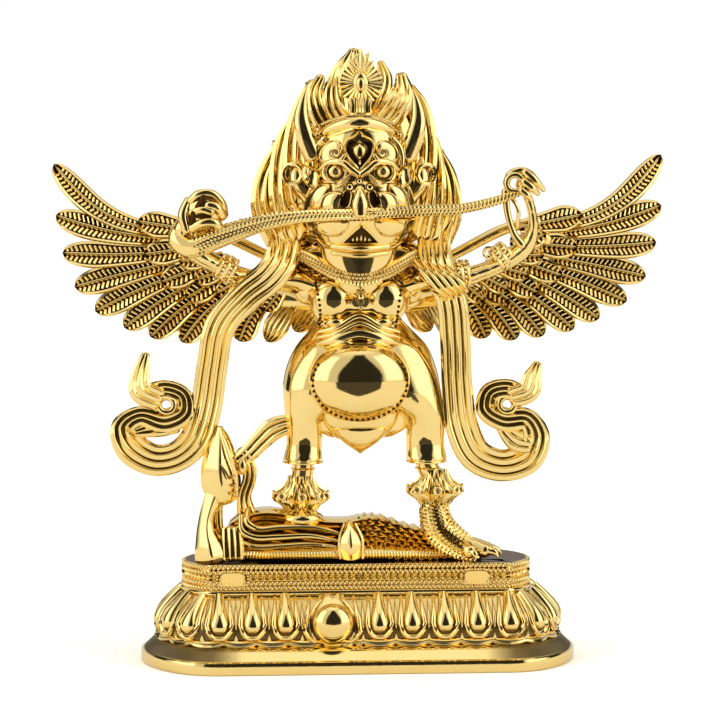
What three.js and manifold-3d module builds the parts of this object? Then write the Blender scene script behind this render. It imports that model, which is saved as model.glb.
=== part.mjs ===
// Gilt cast figure of a garuda biting a serpent, on a lotus plinth. Millimetres, +Z up, front towards -Y.
// The origin is under the middle of the plinth's foot.
import * as THREE from "three";
import { mergeVertices } from "three/addons/utils/BufferGeometryUtils.js";
import Module from "manifold-3d";

const wasm = await Module();
wasm.setup();

// Plinth sizes
const plateThickness = 5;
const plateOverhang = 19.5; // how far each level stands out from the plinth's core outline
const tierOverhang = 3;
const plinthHeight = 32.9;
const tierHeight = 10.4;
const coreCornerX = 45.4; // corner of the core outline, where the straight front meets the bowed end
const coreHalfDepth = 14.6;
const endArcCentreX = 31.6;
const rimHeight = 1.4;
const rimRecess = 0.8;
const bossX = -9.9; // the large petal with the round boss is left of the middle
const bossRadius = 6.2;
const bossBulge = 3.6;
const bossPetalWidth = 19.4;
const petalPitch = 10.4;
const petalDepth = 2.6;
const petalDroop = 1.6;
const plaqueLength = 8.6;
const plaqueHeight = 4;
const plaqueInset = [7, 11.3]; // of each plaque's middle from the plinth's front corner, left and right

// Figure sizes
const seatGap = 0.3; // between the plinth's top and the cast figure that stands on it
const figureHeight = 167;
const patternHeight = 167; // the height at which the figure's rows and sizes below are given
const wingSetBack = 8; // the wings' plane behind the middle of the body
const featherThickness = 2;
const featherWidth = 7.6;
const ribbonThickness = 3.4;
const ribbonRibs = 2;
const serpentRadius = 1.8;
const beadRadius = 0.75;
const armletRadius = 4.2;
const armletLength = 5.2;
const ankletFeathers = 8;

const gold = { color: 0xf0b53c, metalness: 1, roughness: 0.16 };

const range = (count) => Array.from({ length: count }, (_, i) => i);

// Points on a unit circle, the section of a round bar
function roundSection(sides) {
  const angles = range(sides).map((i) => (2 * Math.PI * i) / sides);
  return angles.map((a) => [Math.cos(a), Math.sin(a)]);
}

// The section of a pleated ribbon: ribs along its front and a plain back
function ribbedSection(ribs) {
  const front = range(2 * ribs + 1).map((i) => [i / ribs - 1, i % 2 ? -1 : -0.55]);
  return [...front, [1, 1], [-1, 1]];
}

const bladeSection = [[1, 0], [0, 1], [-1, 0], [0, -1]];

// Closes a stack of equal rings into a solid. A ring is an array of Vector3.
function loft(rings) {
  const n = rings[0].length;
  const points = rings.flat();
  const faces = [];
  for (let r = 0; r < rings.length - 1; r++)
    for (let i = 0; i < n; i++) {
      const [a, b] = [r * n + i, r * n + ((i + 1) % n)];
      faces.push(a, b, b + n, a, b + n, a + n);
    }
  for (const [ring, flip] of [[0, true], [rings.length - 1, false]]) {
    const middle = points.length;
    const centre = new THREE.Vector3();
    rings[ring].forEach((p) => centre.addScaledVector(p, 1 / n));
    points.push(centre);
    for (let i = 0; i < n; i++) {
      const [a, b] = [ring * n + i, ring * n + ((i + 1) % n)];
      faces.push(...(flip ? [b, a, middle] : [a, b, middle]));
    }
  }
  const geometry = new THREE.BufferGeometry().setFromPoints(points);
  geometry.setIndex(faces);
  return solidOf(geometry);
}

function solidOf(geometry) {
  const bare = new THREE.BufferGeometry();
  bare.setAttribute("position", geometry.getAttribute("position").clone());
  bare.setIndex(geometry.index);
  const { attributes, index } = mergeVertices(bare, 1e-4);
  const build = (triVerts) =>
    new wasm.Manifold(new wasm.Mesh({ numProp: 3, vertProperties: attributes.position.array, triVerts }));
  const made = build(new Uint32Array(index.array));
  return made.volume() > 0 ? made : build(new Uint32Array(index.array).reverse());
}

// A bar along rows of [x, y, z, half width, half depth]. The depth of its section lies along depthAxis,
// and the width across both that and the bar.
function sweep(rows, options = {}) {
  const { section = roundSection(5), depthAxis = [0, 1, 0], roundEnds = true } = options;
  const hint = new THREE.Vector3(...depthAxis);
  const places = rows.map((row, i) => {
    const before = new THREE.Vector3(...rows[Math.max(0, i - 1)].slice(0, 3));
    const after = new THREE.Vector3(...rows[Math.min(rows.length - 1, i + 1)].slice(0, 3));
    const along = after.sub(before).normalize();
    const depth = hint.clone().addScaledVector(along, -hint.dot(along)).normalize();
    return { centre: new THREE.Vector3(...row.slice(0, 3)), along, depth, size: row.slice(3) };
  });
  const ring = ({ centre, along, depth, size }, shrink, ahead) => {
    const across = depth.clone().cross(along);
    return section.map(([u, v]) =>
      centre
        .clone()
        .addScaledVector(along, ahead * Math.min(...size))
        .addScaledVector(across, u * size[0] * shrink)
        .addScaledVector(depth, v * size[1] * shrink),
    );
  };
  const rings = places.map((place) => ring(place, 1, 0));
  if (roundEnds) {
    rings.unshift(ring(places[0], 0.6, -0.6));
    rings.push(ring(places.at(-1), 0.6, 0.6));
  }
  return loft(rings);
}

function ellipsoid([x, y, z], [rx, ry, rz], detail = 8) {
  const ball = new THREE.SphereGeometry(1, detail, Math.round(detail * 0.6));
  ball.scale(rx, ry, rz);
  ball.translate(x, y, z);
  return solidOf(ball);
}

const bar = (rows) => sweep(rows, { roundEnds: false });
const join = (solids) => wasm.Manifold.union(solids);
const mirrored = (rows) => rows.map(([x, ...rest]) => [-x, ...rest]);
const bothSides = (rows, options) => [sweep(rows, options), sweep(mirrored(rows), options)];

// The plinth's plan at an offset from its core: straight front and back, bowed ends, and corners rounded by
// the offset. at(distance) is the point that far along it, counted from the front's middle towards +X.
function planOutline(offset) {
  const endAngle = Math.atan2(coreHalfDepth, coreCornerX - endArcCentreX);
  const endRadius = Math.hypot(coreHalfDepth, coreCornerX - endArcCentreX) + offset;
  const cornerAngle = Math.PI / 2 - endAngle;
  const depth = coreHalfDepth + offset;
  const arc = (steps, cx, cy, radius, from, turn) => ({
    steps,
    length: radius * turn,
    at: (share) => {
      const nx = Math.cos(from + turn * share);
      const ny = Math.sin(from + turn * share);
      return { x: cx + radius * nx, y: cy + radius * ny, nx, ny };
    },
  });
  const straight = (from, to, y) => ({
    steps: 1,
    length: coreCornerX,
    at: (share) => ({ x: from + (to - from) * share, y, nx: 0, ny: Math.sign(y) }),
  });
  const parts = [
    straight(0, coreCornerX, -depth),
    arc(3, coreCornerX, -coreHalfDepth, offset, -Math.PI / 2, cornerAngle),
    arc(7, endArcCentreX, 0, endRadius, -endAngle, 2 * endAngle),
    arc(3, coreCornerX, coreHalfDepth, offset, endAngle, cornerAngle),
    straight(coreCornerX, 0, depth),
    straight(0, -coreCornerX, depth),
    arc(3, -coreCornerX, coreHalfDepth, offset, Math.PI / 2, cornerAngle),
    arc(7, -endArcCentreX, 0, endRadius, Math.PI - endAngle, 2 * endAngle),
    arc(3, -coreCornerX, -coreHalfDepth, offset, Math.PI + endAngle, cornerAngle),
    straight(-coreCornerX, 0, -depth),
  ];
  const length = parts.reduce((sum, part) => sum + part.length, 0);
  const at = (distance) => {
    let rest = ((distance % length) + length) % length;
    let i = 0;
    while (i < parts.length - 1 && rest > parts[i].length) {
      rest -= parts[i].length;
      i += 1;
    }
    return parts[i].at(rest / parts[i].length);
  };
  const corners = parts.flatMap((part) => range(part.steps).map((k) => part.at(k / part.steps)));
  return { length, at, corners };
}

// A level of the plinth: rings of [offset, z] around the plan
function planSolid(levels) {
  const ring = ([offset, z]) => planOutline(offset).corners.map(({ x, y }) => new THREE.Vector3(x, y, z));
  return loft(levels.map(ring));
}

// The lotus stands between the plate and the tier, and its heights and overhangs follow those two
const lotusBottom = plateThickness;
const lotusTop = plinthHeight - tierHeight;
const lotusOffset = (out) => tierOverhang + out * (plateOverhang - tierOverhang);
const lotusZ = (up) => lotusBottom + up * (lotusTop - lotusBottom);

// Each petal is a swell between two creases. Rows are [overhang, height, swell, droop of the tip].
const lotusRows = [
  [-0.05, 1.04, 0, 0],
  [0.12, 0.95, 0.4, 0],
  [0.5, 0.66, 1, 0],
  [0.64, 0.38, 1, 0.6],
  [0.5, 0.2, 0.6, 1.4],
  [0.4, -0.04, 0, 0],
];
const petalShape = [[0, 0], [0.27, 1], [0.73, 1]];

function lotus() {
  const guide = planOutline(lotusOffset(0.5));
  const rest = guide.length - bossPetalWidth;
  const count = Math.round(rest / petalPitch);
  const first = bossX + bossPetalWidth / 2;
  const creases = range(count + 1).map((i) => first + (rest * i) / count);
  const stops = creases.flatMap((crease, i) => {
    const width = i < count ? rest / count : bossPetalWidth;
    return petalShape.map(([share, swell]) => [(crease + share * width) / guide.length, swell]);
  });
  const ring = ([out, up, swelling, droop]) =>
    stops.map(([share, swell]) => {
      const { x, y, nx, ny } = guide.at(share * guide.length);
      const push = lotusOffset(out) - lotusOffset(0.5) + petalDepth * swell * swelling;
      return new THREE.Vector3(x + nx * push, y + ny * push, lotusZ(up) - droop * petalDroop * swell);
    });
  return loft(lotusRows.map(ring));
}

function boss() {
  const y = -coreHalfDepth - lotusOffset(0.56) - petalDepth;
  return ellipsoid([bossX, y, lotusZ(0.5)], [bossRadius, bossBulge, bossRadius], 10);
}

function tierBands() {
  const top = plinthHeight;
  return planSolid([
    [tierOverhang + rimRecess, lotusTop - rimHeight / 2],
    [tierOverhang + rimRecess, lotusTop + rimHeight / 2],
    [tierOverhang - rimRecess, lotusTop + rimHeight],
    [tierOverhang - rimRecess, top - 1.6 * rimHeight],
    [tierOverhang, top - 1.2 * rimHeight],
    [tierOverhang, top],
  ]);
}

function plaques() {
  const z = plinthHeight - 2.4 * rimHeight - plaqueHeight / 2 + rimRecess;
  const y = -coreHalfDepth - tierOverhang;
  const cornerX = coreCornerX + tierOverhang;
  const places = [plaqueInset[0] - cornerX, cornerX - plaqueInset[1]];
  return places.map((x) => {
    const plate = new THREE.BoxGeometry(plaqueLength, 2 * rimRecess, plaqueHeight);
    plate.translate(x, y, z);
    return solidOf(plate);
  });
}

function lotusPlinth() {
  const plate = planSolid([
    [plateOverhang - 0.6, 0],
    [plateOverhang, 0.6],
    [plateOverhang, plateThickness - 0.6],
    [plateOverhang - 0.6, plateThickness],
  ]);
  return join([plate, lotus(), boss(), tierBands(), ...plaques()]);
}

// The figure's rows are [x, y, z, half width, half depth] with z from its underside
const trunkRows = [
  [0, 0, 46, 12, 9],
  [0, -0.5, 56, 19, 12],
  [0, 0, 66, 17.5, 11.5],
  [0, 0, 73, 13.5, 9.5],
  [0, 0, 81, 14.8, 10],
  [0, 0, 89, 18, 10.5],
  [0, -2, 97, 11, 8.5],
  [0, -4, 108, 9, 8],
];
const pantLeft = [
  [-8, 0, 74, 6, 7],
  [-13.4, -1, 65, 8.6, 9.6],
  [-16, -2, 56, 8.4, 9.5],
  [-17.7, -3.5, 45, 6.4, 7.2],
  [-17.8, -4, 36, 5.9, 6],
  [-18.3, -4, 32.4, 6.6, 6.6],
];
const pantRight = [
  [9.6, 0, 74, 7, 7],
  [16, -1, 65, 9, 9.6],
  [18.9, -2, 56, 8.7, 9.5],
  [21.4, -3.5, 45, 6.8, 7.2],
  [21.8, -4, 36, 6.2, 6],
  [22.1, -4, 32.4, 6.8, 6.6],
];

function trunk() {
  return [
    sweep(trunkRows, { section: roundSection(8) }),
    ellipsoid([0.3, -9, 57.5], [15.8, 10, 12.8], 12),
    ellipsoid([-8.6, -8.5, 84.5], [7.6, 4.6, 6.6]),
    ellipsoid([8.6, -8.5, 84.5], [7.6, 4.6, 6.6]),
    bar([[-11, -7, 73.4, 1.4, 2], [0, -10.4, 77.4, 1.7, 2], [11, -7, 73.4, 1.4, 2]]),
    bar([[0.2, -7, 50, 12, 4], [0.2, -9.6, 41, 6.6, 2.4], [0.2, -10, 34.8, 0.8, 0.8]]),
    sweep(pantLeft, { section: roundSection(8), roundEnds: false }),
    sweep(pantRight, { section: roundSection(8), roundEnds: false }),
  ];
}

// The beaded hem of the breastplate runs down both sides, in at the waist and round the belly
function breastplateHem() {
  const side = [
    [-17.5, -9, 93, beadRadius, beadRadius],
    [-14, -10, 84, beadRadius, beadRadius],
    [-12.6, -9.5, 73, beadRadius, beadRadius],
    [-15.4, -11, 64, beadRadius, beadRadius],
    [-15.8, -11.5, 57, beadRadius, beadRadius],
    [-11.8, -14, 48.5, beadRadius, beadRadius],
    [0, -15.5, 45, beadRadius, beadRadius],
  ];
  return bothSides(side, { section: roundSection(4), roundEnds: false });
}

function necklace() {
  const collar = [
    [-18.5, -6, 101, 1, 1.2],
    [-9, -12, 95, 1.2, 1.3],
    [0, -14, 92.8, 1.3, 1.4],
    [9, -12, 95, 1.2, 1.3],
    [18.5, -6, 101, 1, 1.2],
  ];
  return [sweep(collar), ellipsoid([-0.2, -11.6, 88], [2, 2.6, 4.2], 6)];
}

// A ring of round-tipped feathers around the ankle: rows of [height, hollow radius, tip radius]
function anklet([x, y, z]) {
  const rows = [
    [6.4, 3.8, 4.6],
    [1.6, 4.8, 7.8],
    [-1, 5.2, 9.4],
    [-5.4, 3.6, 4.6],
  ];
  return loft(
    rows.map(([up, hollow, tip]) =>
      range(2 * ankletFeathers).map((i) => {
        const a = (Math.PI * i) / ankletFeathers;
        const radius = i % 2 ? hollow : tip;
        return new THREE.Vector3(x + radius * Math.cos(a), y + radius * Math.sin(a), z + up);
      }),
    ),
  );
}

function lowerLeg(x, ankleX, ankleZ) {
  const y = -4;
  const shin = [[x, y, 33.5, 3.6, 3.6], [x, y, 27, 3.5, 3.5], [ankleX, y, ankleZ, 3.6, 3.6]];
  return [sweep(shin), anklet([ankleX, y, ankleZ])];
}

// Both feet: the left one flat on the serpent spirit's back, the right one scaled and splayed on the plinth
function feet() {
  const claw = (rows) => sweep(rows, { section: bladeSection, roundEnds: false });
  return [
    ellipsoid([-18.8, -6, 14.6], [7.4, 7, 3.4]),
    ...[[-25, -12.4], [-18.6, -14.4], [-12.4, -12.6]].map(([x, y]) =>
      claw([[-18.6, -5, 14.4, 2.4, 2.4], [x, y, 13.6, 1.9, 1.8], [x, y - 2, 11.4, 0.5, 0.6]]),
    ),
    sweep([
      [24.3, -5, 16, 4, 3.8],
      [27.5, -7, 10, 6.2, 6],
      [33, -8.5, 6, 5.2, 6.5],
      [38, -9.5, 3.6, 3.4, 5.5],
    ]),
    ...[[46, -10.4, 1.4], [44.4, -16, 1.4], [37, -18.4, 1.2], [40, -2.6, 1.4]].map(([x, y, z]) =>
      claw([[31, -8.6, 5, 3, 3], [x * 0.7 + 9.3, y * 0.7 - 2.6, 3.2, 2.4, 2.2], [x, y, z, 0.9, 0.9]]),
    ),
  ];
}

const headRows = [
  [0, -7, 109, 16.5, 13],
  [0, -7, 113, 18.6, 14],
  [0, -6.5, 119, 18, 14.5],
  [0, -6, 126, 16, 14],
  [0, -6, 133, 14.5, 13.4],
  [0, -5, 139.5, 13, 12.4],
  [0, -3, 145, 9, 9],
];
const jawRows = [
  [0, -5, 99.6, 7, 7],
  [0, -8, 101, 11.5, 10],
  [0, -8.5, 105, 16, 13.4],
  [0, -8, 110.5, 18.2, 15],
];

function head() {
  const parts = [
    sweep(jawRows, { section: roundSection(8), roundEnds: false }),
    sweep(headRows, { section: roundSection(8), roundEnds: false }),
    // crown band and the third eye in its frame
    bar([[-13, -9, 139.4, 2, 2], [0, -17.4, 142, 2.4, 2.2], [13, -9, 139.4, 2, 2]]),
    ellipsoid([-0.8, -18.4, 132.4], [4.4, 3.4, 6.4], 6),
    // upper beak
    bar([[-1, -16, 127, 2.2, 3], [-1, -22.6, 119, 2.6, 3.4], [-1, -24.4, 112.4, 1.2, 1.6]]),
    // finial: foot, rayed disc and crest
    bar([[-0.2, -10, 141, 4.4, 4], [-0.2, -10.6, 147.4, 3.2, 2.6]]),
    ellipsoid([0, -10.6, 153.4], [7.3, 2.4, 7], 10),
    ellipsoid([-0.4, -10, 160.8], [3.4, 2.2, 3.4], 6),
  ];
  for (const side of [-1, 1]) {
    const across = side > 0 ? 0.6 : 0;
    parts.push(
      ellipsoid([side * 8.3 - 0.7, -16.6, 126], [3.9, 3.4, 3.8]),
      ellipsoid([side * 7.4 - 0.9, -17, 132], [3.2, 2.8, 2.6], 6),
      // cheek fold
      bar([
        [side * 4, -18.6, 120.6, 2, 2.4],
        [side * 11, -17.6, 119, 2.7, 2.8],
        [side * 15.6, -12.6, 112, 2.4, 2.6],
      ]),
      // horn and ear
      bar([
        [side * 11 + across, -10, 134, 3, 2.8],
        [side * 16.8 + across, -10.6, 139.6, 2.4, 2.2],
        [side * 18.2 + across, -9, 147, 1.7, 1.6],
        [side * 17 + across, -7.4, 154, 0.4, 0.4],
      ]),
      bar([
        [side * 16, -5, 117, 3, 2.4],
        [side * 20, -4.6, 124.6, 3.4, 2.2],
        [side * 21.4, -3, 132, 0.8, 0.8],
      ]),
    );
  }
  return parts;
}

// The flaming mane behind the head. Locks on the right are given as [notch x, notch z, tip x, tip z], going
// up; the left side mirrors them, and the crest leans a little to the left.
const maneLocks = [
  [30.5, 110, 34.6, 121.4],
  [31.6, 122, 30, 132.6],
  [27.8, 131.8, 25.4, 143],
  [23.2, 141.4, 19.6, 153],
  [17, 151, 13.8, 159.4],
];
const maneNotch = [8.6, 157];
const maneCrest = [-1.8, 167];
const maneFoot = [[20, 104], [9, 107]];
const maneMiddle = [0, 126];
const lockSwell = 1.05; // how far a lock's back bows out, as a share of its distance from the mane's middle
const maneLayers = [[-7, 0.5], [-2, 0.82], [4, 1], [10, 0.8], [14, 0.42]]; // depth, share of the full outline

function mane() {
  const [middleX, middleZ] = maneMiddle;
  const spread = ([x, z], share) => [middleX + (x - middleX) * share, middleZ + (z - middleZ) * share];
  const right = maneLocks.flatMap(([x, z, tipX, tipZ]) => {
    const back = spread([(x + tipX) / 2, (z + tipZ) / 2], lockSwell);
    return [[x, z], back, [tipX, tipZ]];
  });
  const half = [...maneFoot.toReversed(), ...right, maneNotch];
  const edge = [...half, maneCrest, ...half.map(([x, z]) => [-x, z]).reverse()];
  const layers = maneLayers.map(([y, share]) =>
    edge.map((point) => spread(point, share)).map(([x, z]) => new THREE.Vector3(x, y, z)),
  );
  return [loft(layers)];
}

// Ribbons from behind the ears, out over the arms and down to a scroll with a flaring tip.
// Their rows are [x, y, z, half width].
const scarfLeft = [
  [-25.6, -1, 112, 5.4],
  [-24.4, -5, 101, 5.4],
  [-28.4, -8, 93, 5.4],
  [-37, -9.4, 85.6, 5.2],
  [-44.4, -8, 76, 5],
  [-46.8, -6, 63, 5],
  [-49.4, -5, 49, 5.2],
  [-53.4, -5, 38.6, 5],
  [-60, -5, 32.6, 4.6],
  [-68, -5, 31.4, 4.6],
  [-75.4, -5, 36, 4.8],
  [-77, -5, 42.4, 3.4],
  [-71.6, -5, 46.4, 2.8],
  [-63, -5, 44.4, 3.6],
  [-57, -5, 47.4, 3.2],
  [-57.6, -5, 53, 3],
  [-62.8, -5, 55.6, 2.9],
  [-69.4, -5, 54, 3],
];
const tipLeft = [
  [-67, -5, 52.6, 3.4, 2],
  [-71.6, -5, 55.8, 3.4, 2],
  [-71.4, -5, 61, 2.4, 1.6],
  [-69.6, -5, 67.6, 0.8, 0.8],
];
const scarfRight = [
  [27, -1, 112, 5.4],
  [24.4, -5, 103, 5.4],
  [26, -8, 94, 5.2],
  [30.4, -8.6, 84, 5],
  [32, -7.4, 71, 5],
  [32.8, -6, 57, 5],
  [35, -5, 43, 5],
  [39.6, -5, 35, 4.8],
  [46.6, -5, 31.6, 4.6],
  [54, -5, 34, 4.6],
  [57.2, -5, 40, 3.8],
  [54.4, -5, 45.4, 3],
  [47.4, -5, 45.2, 3.2],
  [42.4, -5, 48.4, 3.2],
  [43.6, -5, 54, 3],
  [48.6, -5, 55.6, 2.9],
  [53.6, -5, 53, 2.8],
];
const tipRight = [
  [50.4, -5, 53, 3, 1.8],
  [55.6, -5, 55, 3.2, 1.8],
  [57.4, -5, 59.6, 2.4, 1.6],
  [58.8, -5, 64.6, 0.8, 0.8],
];

function scarves() {
  const section = ribbedSection(ribbonRibs);
  const ribbon = (rows) => sweep(rows.map((row) => [...row, ribbonThickness / 2]), { section });
  return [ribbon(scarfLeft), sweep(tipLeft), ribbon(scarfRight), sweep(tipRight)];
}

// A cuff of [x, y, z, lean in degrees from upright] around an arm
function armlet([x, y, z, lean]) {
  const along = THREE.MathUtils.degToRad(lean);
  const end = (t) => [x + t * Math.sin(along), y, z + t * Math.cos(along), armletRadius, armletRadius];
  const rows = [end(-armletLength / 2), end(armletLength / 2)];
  return sweep(rows, { section: roundSection(6), roundEnds: false });
}

function arms() {
  const leftArm = [
    [-15, 0, 89, 5, 5],
    [-28, -2, 91, 3.8, 3.8],
    [-37, -3, 91.6, 3.2, 3.2],
    [-47, -6, 96.4, 3.2, 3.2],
    [-54.4, -8, 101.4, 3.6, 3.4],
    [-57.6, -10, 106.4, 3.4, 3.2],
    [-53.6, -11.6, 112, 3.6, 3.4],
  ];
  const rightArm = [
    [15, 0, 88.6, 5, 5],
    [29, -2, 90.4, 3.4, 3.6],
    [45, -5, 95.4, 2.9, 3],
    [53.6, -8, 101.4, 3.2, 3],
    [57, -10, 107.6, 2.3, 2.4],
    [56, -11.4, 115.4, 2, 2.2],
    [53.6, -12, 120.4, 2.6, 2.6],
  ];
  return [
    sweep(leftArm),
    sweep(rightArm),
    // the cord from the right elbow back up to the hand
    sweep([[51, -9, 102.6, 1.6, 1.8], [47.8, -10.6, 109, 1.3, 1.4], [50, -12, 117.4, 1.5, 1.5]]),
    // left fist, right hand and its pointing finger
    ellipsoid([-49.6, -12, 115.4], [6.6, 5, 6.2]),
    ellipsoid([52.4, -12, 121.4], [4.6, 3.6, 4.4]),
    sweep([[52, -12, 123.6, 2, 2], [56.4, -12, 123.6, 1.8, 1.8], [60.4, -12, 119.8, 0.9, 0.9]]),
    armlet([-43, -4.8, 94.6, 115]),
    armlet([41, -4.4, 94, 72]),
  ];
}

function serpent() {
  const r = serpentRadius;
  const body = [
    [-57, -9, 115, r, r],
    [-60.8, -9.6, 109.4, r * 1.5, r * 1.5],
    [-57, -12, 104.4, r * 1.6, r * 1.6],
    [-47, -14, 104.4, r * 1.7, r * 1.7],
    [-35.4, -16, 108, r * 1.4, r * 1.4],
    [-20, -19.4, 111, r * 1.1, r * 1.1],
    [-1, -22.4, 112, r, r],
    [18.6, -18.6, 113.2, r, r],
    [32, -16, 113.8, r, r],
    [45, -13.6, 116.4, r, r],
    [53, -12.4, 119, r * 0.8, r * 0.8],
  ];
  return [sweep(body), ellipsoid([32.2, -16, 111.6], [1.5, 1.5, 1.6], 6)];
}

// One feather's rows: narrow at its root, broad along the vane, rounded at its tip, and bowed sideways
const vane = [[0, 0.3], [0.45, 0.98], [0.88, 0.84], [1, 0.24]];

function feather([x, z, tipX, tipZ, bow = 0], y) {
  const [dx, dz] = [tipX - x, tipZ - z];
  const length = Math.hypot(dx, dz);
  return vane.map(([along, share]) => {
    const side = (bow * Math.sin(Math.PI * along)) / length;
    const place = [x + dx * along - dz * side, y, z + dz * along + dx * side];
    return [...place, (featherWidth / 2) * share, featherThickness / 2];
  });
}

// Right-hand wing, [root x, root z, tip x, tip z, bow]; the left-hand one mirrors it
const primaries = [
  [60, 108, 99.3, 131, -3.6],
  [60, 105.5, 99.6, 113.6, -1.6],
  [58, 102, 97.6, 101.4, -1],
  [56, 99, 93.8, 90.2, 0.4],
  [53, 96, 87.2, 82.1, 1],
  [49, 93.4, 77.8, 76.6, 1.4],
  [44.4, 91, 69.2, 73.4, 1.6],
  [39.4, 89.4, 59, 71.6, 1.8],
  [34, 88, 50, 70.8, 1.8],
  [29, 87, 40, 71.6, 1.6],
];
const coverts = [
  [52, 108, 72.8, 111.4],
  [49, 103.4, 71, 100.6],
  [45, 99.4, 65.6, 91.4],
  [40, 96, 57.4, 86],
  [34, 93, 48, 84],
];
const innerPlumes = [
  [13, 88, 22.4, 75.6],
  [21, 88, 31.4, 72.6],
];

function wings() {
  const blade = { section: bladeSection, roundEnds: false };
  const lap = featherThickness / 2;
  const vanes = [
    ...primaries.map((row, i) => feather(row, wingSetBack + (i % 2 ? lap : 0))),
    ...coverts.map((row, i) => feather(row, wingSetBack - lap * (i % 2 ? 3 : 2))),
    ...innerPlumes.map((row, i) => feather(row, wingSetBack - lap * (i % 2))),
  ];
  const bones = [
    // the arm that carries the feathers, from its root in the back, and the bone along its top
    sweep([
      [12, 6.5, 88, 5, 3],
      [32, wingSetBack, 91, 5.4, 2.4],
      [47, wingSetBack, 98.6, 6, 2.4],
      [60, wingSetBack, 107, 4.4, 2.2],
    ]),
    sweep([
      [12, 3.4, 92.4, 2.6, 2.6],
      [28.8, 7, 99, 1.9, 1.9],
      [47.4, 7, 107.6, 1.9, 1.9],
      [58, 7, 109.6, 1.6, 1.8],
    ]),
  ];
  const right = join([...bones, ...vanes.map((rows) => sweep(rows, blade))]);
  return [right, right.mirror([1, 0, 0])];
}

// The serpent spirit underfoot: hooded head bent down, one arm propped, robe lying across the plinth
function serpentSpirit() {
  const hood = [
    [-45.6, -8, 43, 1.4, 1.4],
    [-45.2, -8, 37, 4.4, 4],
    [-45.2, -8, 31, 6, 5],
    [-45, -8, 25, 6.6, 5.2],
    [-44.6, -8, 20.4, 4.6, 4.2],
  ];
  const raisedArm = [
    [-38.4, -6.6, 34.4, 2.6, 2.4],
    [-33, -5.4, 39.4, 3.2, 2.6],
    [-28, -4.6, 43.4, 3.5, 2.8],
    [-22, -4, 44.6, 3.4, 2.8],
  ];
  const braid = [
    [-37.6, -6.4, 36, 2.4, 2.2],
    [-35.8, -6, 30, 2.3, 2.2],
    [-37.4, -6, 23, 2.3, 2.2],
    [-36, -5, 15, 3, 2.6],
  ];
  const robe = [
    [-43, -3, 9, 6, 6],
    [-34, -3, 8.4, 8, 8.4],
    [-24, -3, 8, 7.8, 8.8],
    [-10, -3, 6.4, 6.6, 8.6],
    [3, -2.4, 7, 7.2, 8],
    [14, -2.4, 5, 5.6, 7.6],
    [28, -3, 4, 4.4, 6.6],
  ];
  const sleeve = [[-42.2, -9, 12, 3.4, 2.4], [-42, -10, 1, 3.6, 3]];
  return [
    sweep(hood),
    sweep([[-47, -8, 22, 3.2, 3], [-49.6, -10, 15, 3.4, 3.2], [-50.2, -11, 9.6, 3.2, 3.2]]),
    ellipsoid([-49, -10.6, 4.4], [4.8, 4.4, 5]),
    sweep(sleeve, { section: ribbedSection(ribbonRibs), roundEnds: false }),
    sweep(raisedArm),
    sweep(braid),
    sweep(robe, { section: roundSection(6) }),
    ellipsoid([-3.3, -10.4, 6.2], [3.7, 3, 6.4], 6),
  ];
}

function garudaFigure() {
  const whole = join([
    ...trunk(),
    ...breastplateHem(),
    ...necklace(),
    ...lowerLeg(-18.3, -19.2, 20.6),
    ...lowerLeg(22.6, 25, 22.4),
    ...feet(),
    ...head(),
    ...mane(),
    ...scarves(),
    ...arms(),
    ...serpent(),
    ...wings(),
    ...serpentSpirit(),
  ]);
  return whole.trimByPlane([0, 0, 1], 0);
}

function meshOf(name, solid) {
  const { numProp, vertProperties, triVerts } = solid.getMesh();
  const geometry = new THREE.BufferGeometry();
  const count = vertProperties.length / numProp;
  const position = new Float32Array(count * 3);
  for (let i = 0; i < count; i++) position.set(vertProperties.subarray(i * numProp, i * numProp + 3), i * 3);
  geometry.setAttribute("position", new THREE.BufferAttribute(position, 3));
  geometry.setIndex(new THREE.BufferAttribute(triVerts, 1));
  geometry.computeVertexNormals();
  const mesh = new THREE.Mesh(geometry, new THREE.MeshStandardMaterial(gold));
  mesh.name = name;
  return mesh;
}

const statue = new THREE.Group();
const figure = meshOf("garuda_figure", garudaFigure());
figure.position.z = plinthHeight + seatGap;
figure.scale.setScalar(figureHeight / patternHeight);
statue.add(meshOf("lotus_plinth", lotusPlinth()), figure);

export default statue;
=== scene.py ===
"""A gilt cast garuda with a serpent in its beak, standing on a lotus plinth: its looks."""

import math

import bpy
import numpy as np
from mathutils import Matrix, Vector
from mathutils.bvhtree import BVHTree


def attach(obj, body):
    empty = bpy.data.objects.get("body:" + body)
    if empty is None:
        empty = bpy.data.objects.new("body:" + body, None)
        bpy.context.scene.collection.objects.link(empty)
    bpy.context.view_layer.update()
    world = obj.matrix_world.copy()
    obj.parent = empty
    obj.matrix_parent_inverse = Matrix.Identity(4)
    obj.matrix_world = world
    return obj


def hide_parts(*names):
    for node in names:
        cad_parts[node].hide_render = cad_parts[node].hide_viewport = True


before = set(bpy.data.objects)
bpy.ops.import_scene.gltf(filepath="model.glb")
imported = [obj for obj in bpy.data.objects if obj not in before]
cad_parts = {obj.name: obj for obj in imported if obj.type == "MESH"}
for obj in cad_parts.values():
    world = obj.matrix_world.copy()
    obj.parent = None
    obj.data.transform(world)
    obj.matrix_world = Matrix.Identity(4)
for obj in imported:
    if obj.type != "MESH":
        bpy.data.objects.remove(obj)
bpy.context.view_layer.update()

# Sizes are in millimetres unless a note beside them says otherwise
MM = 0.001
PLINTH_TOP = 32.9
SEAT = 33.2  # the figure's underside above the ground; the figure's rows count from there

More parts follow.
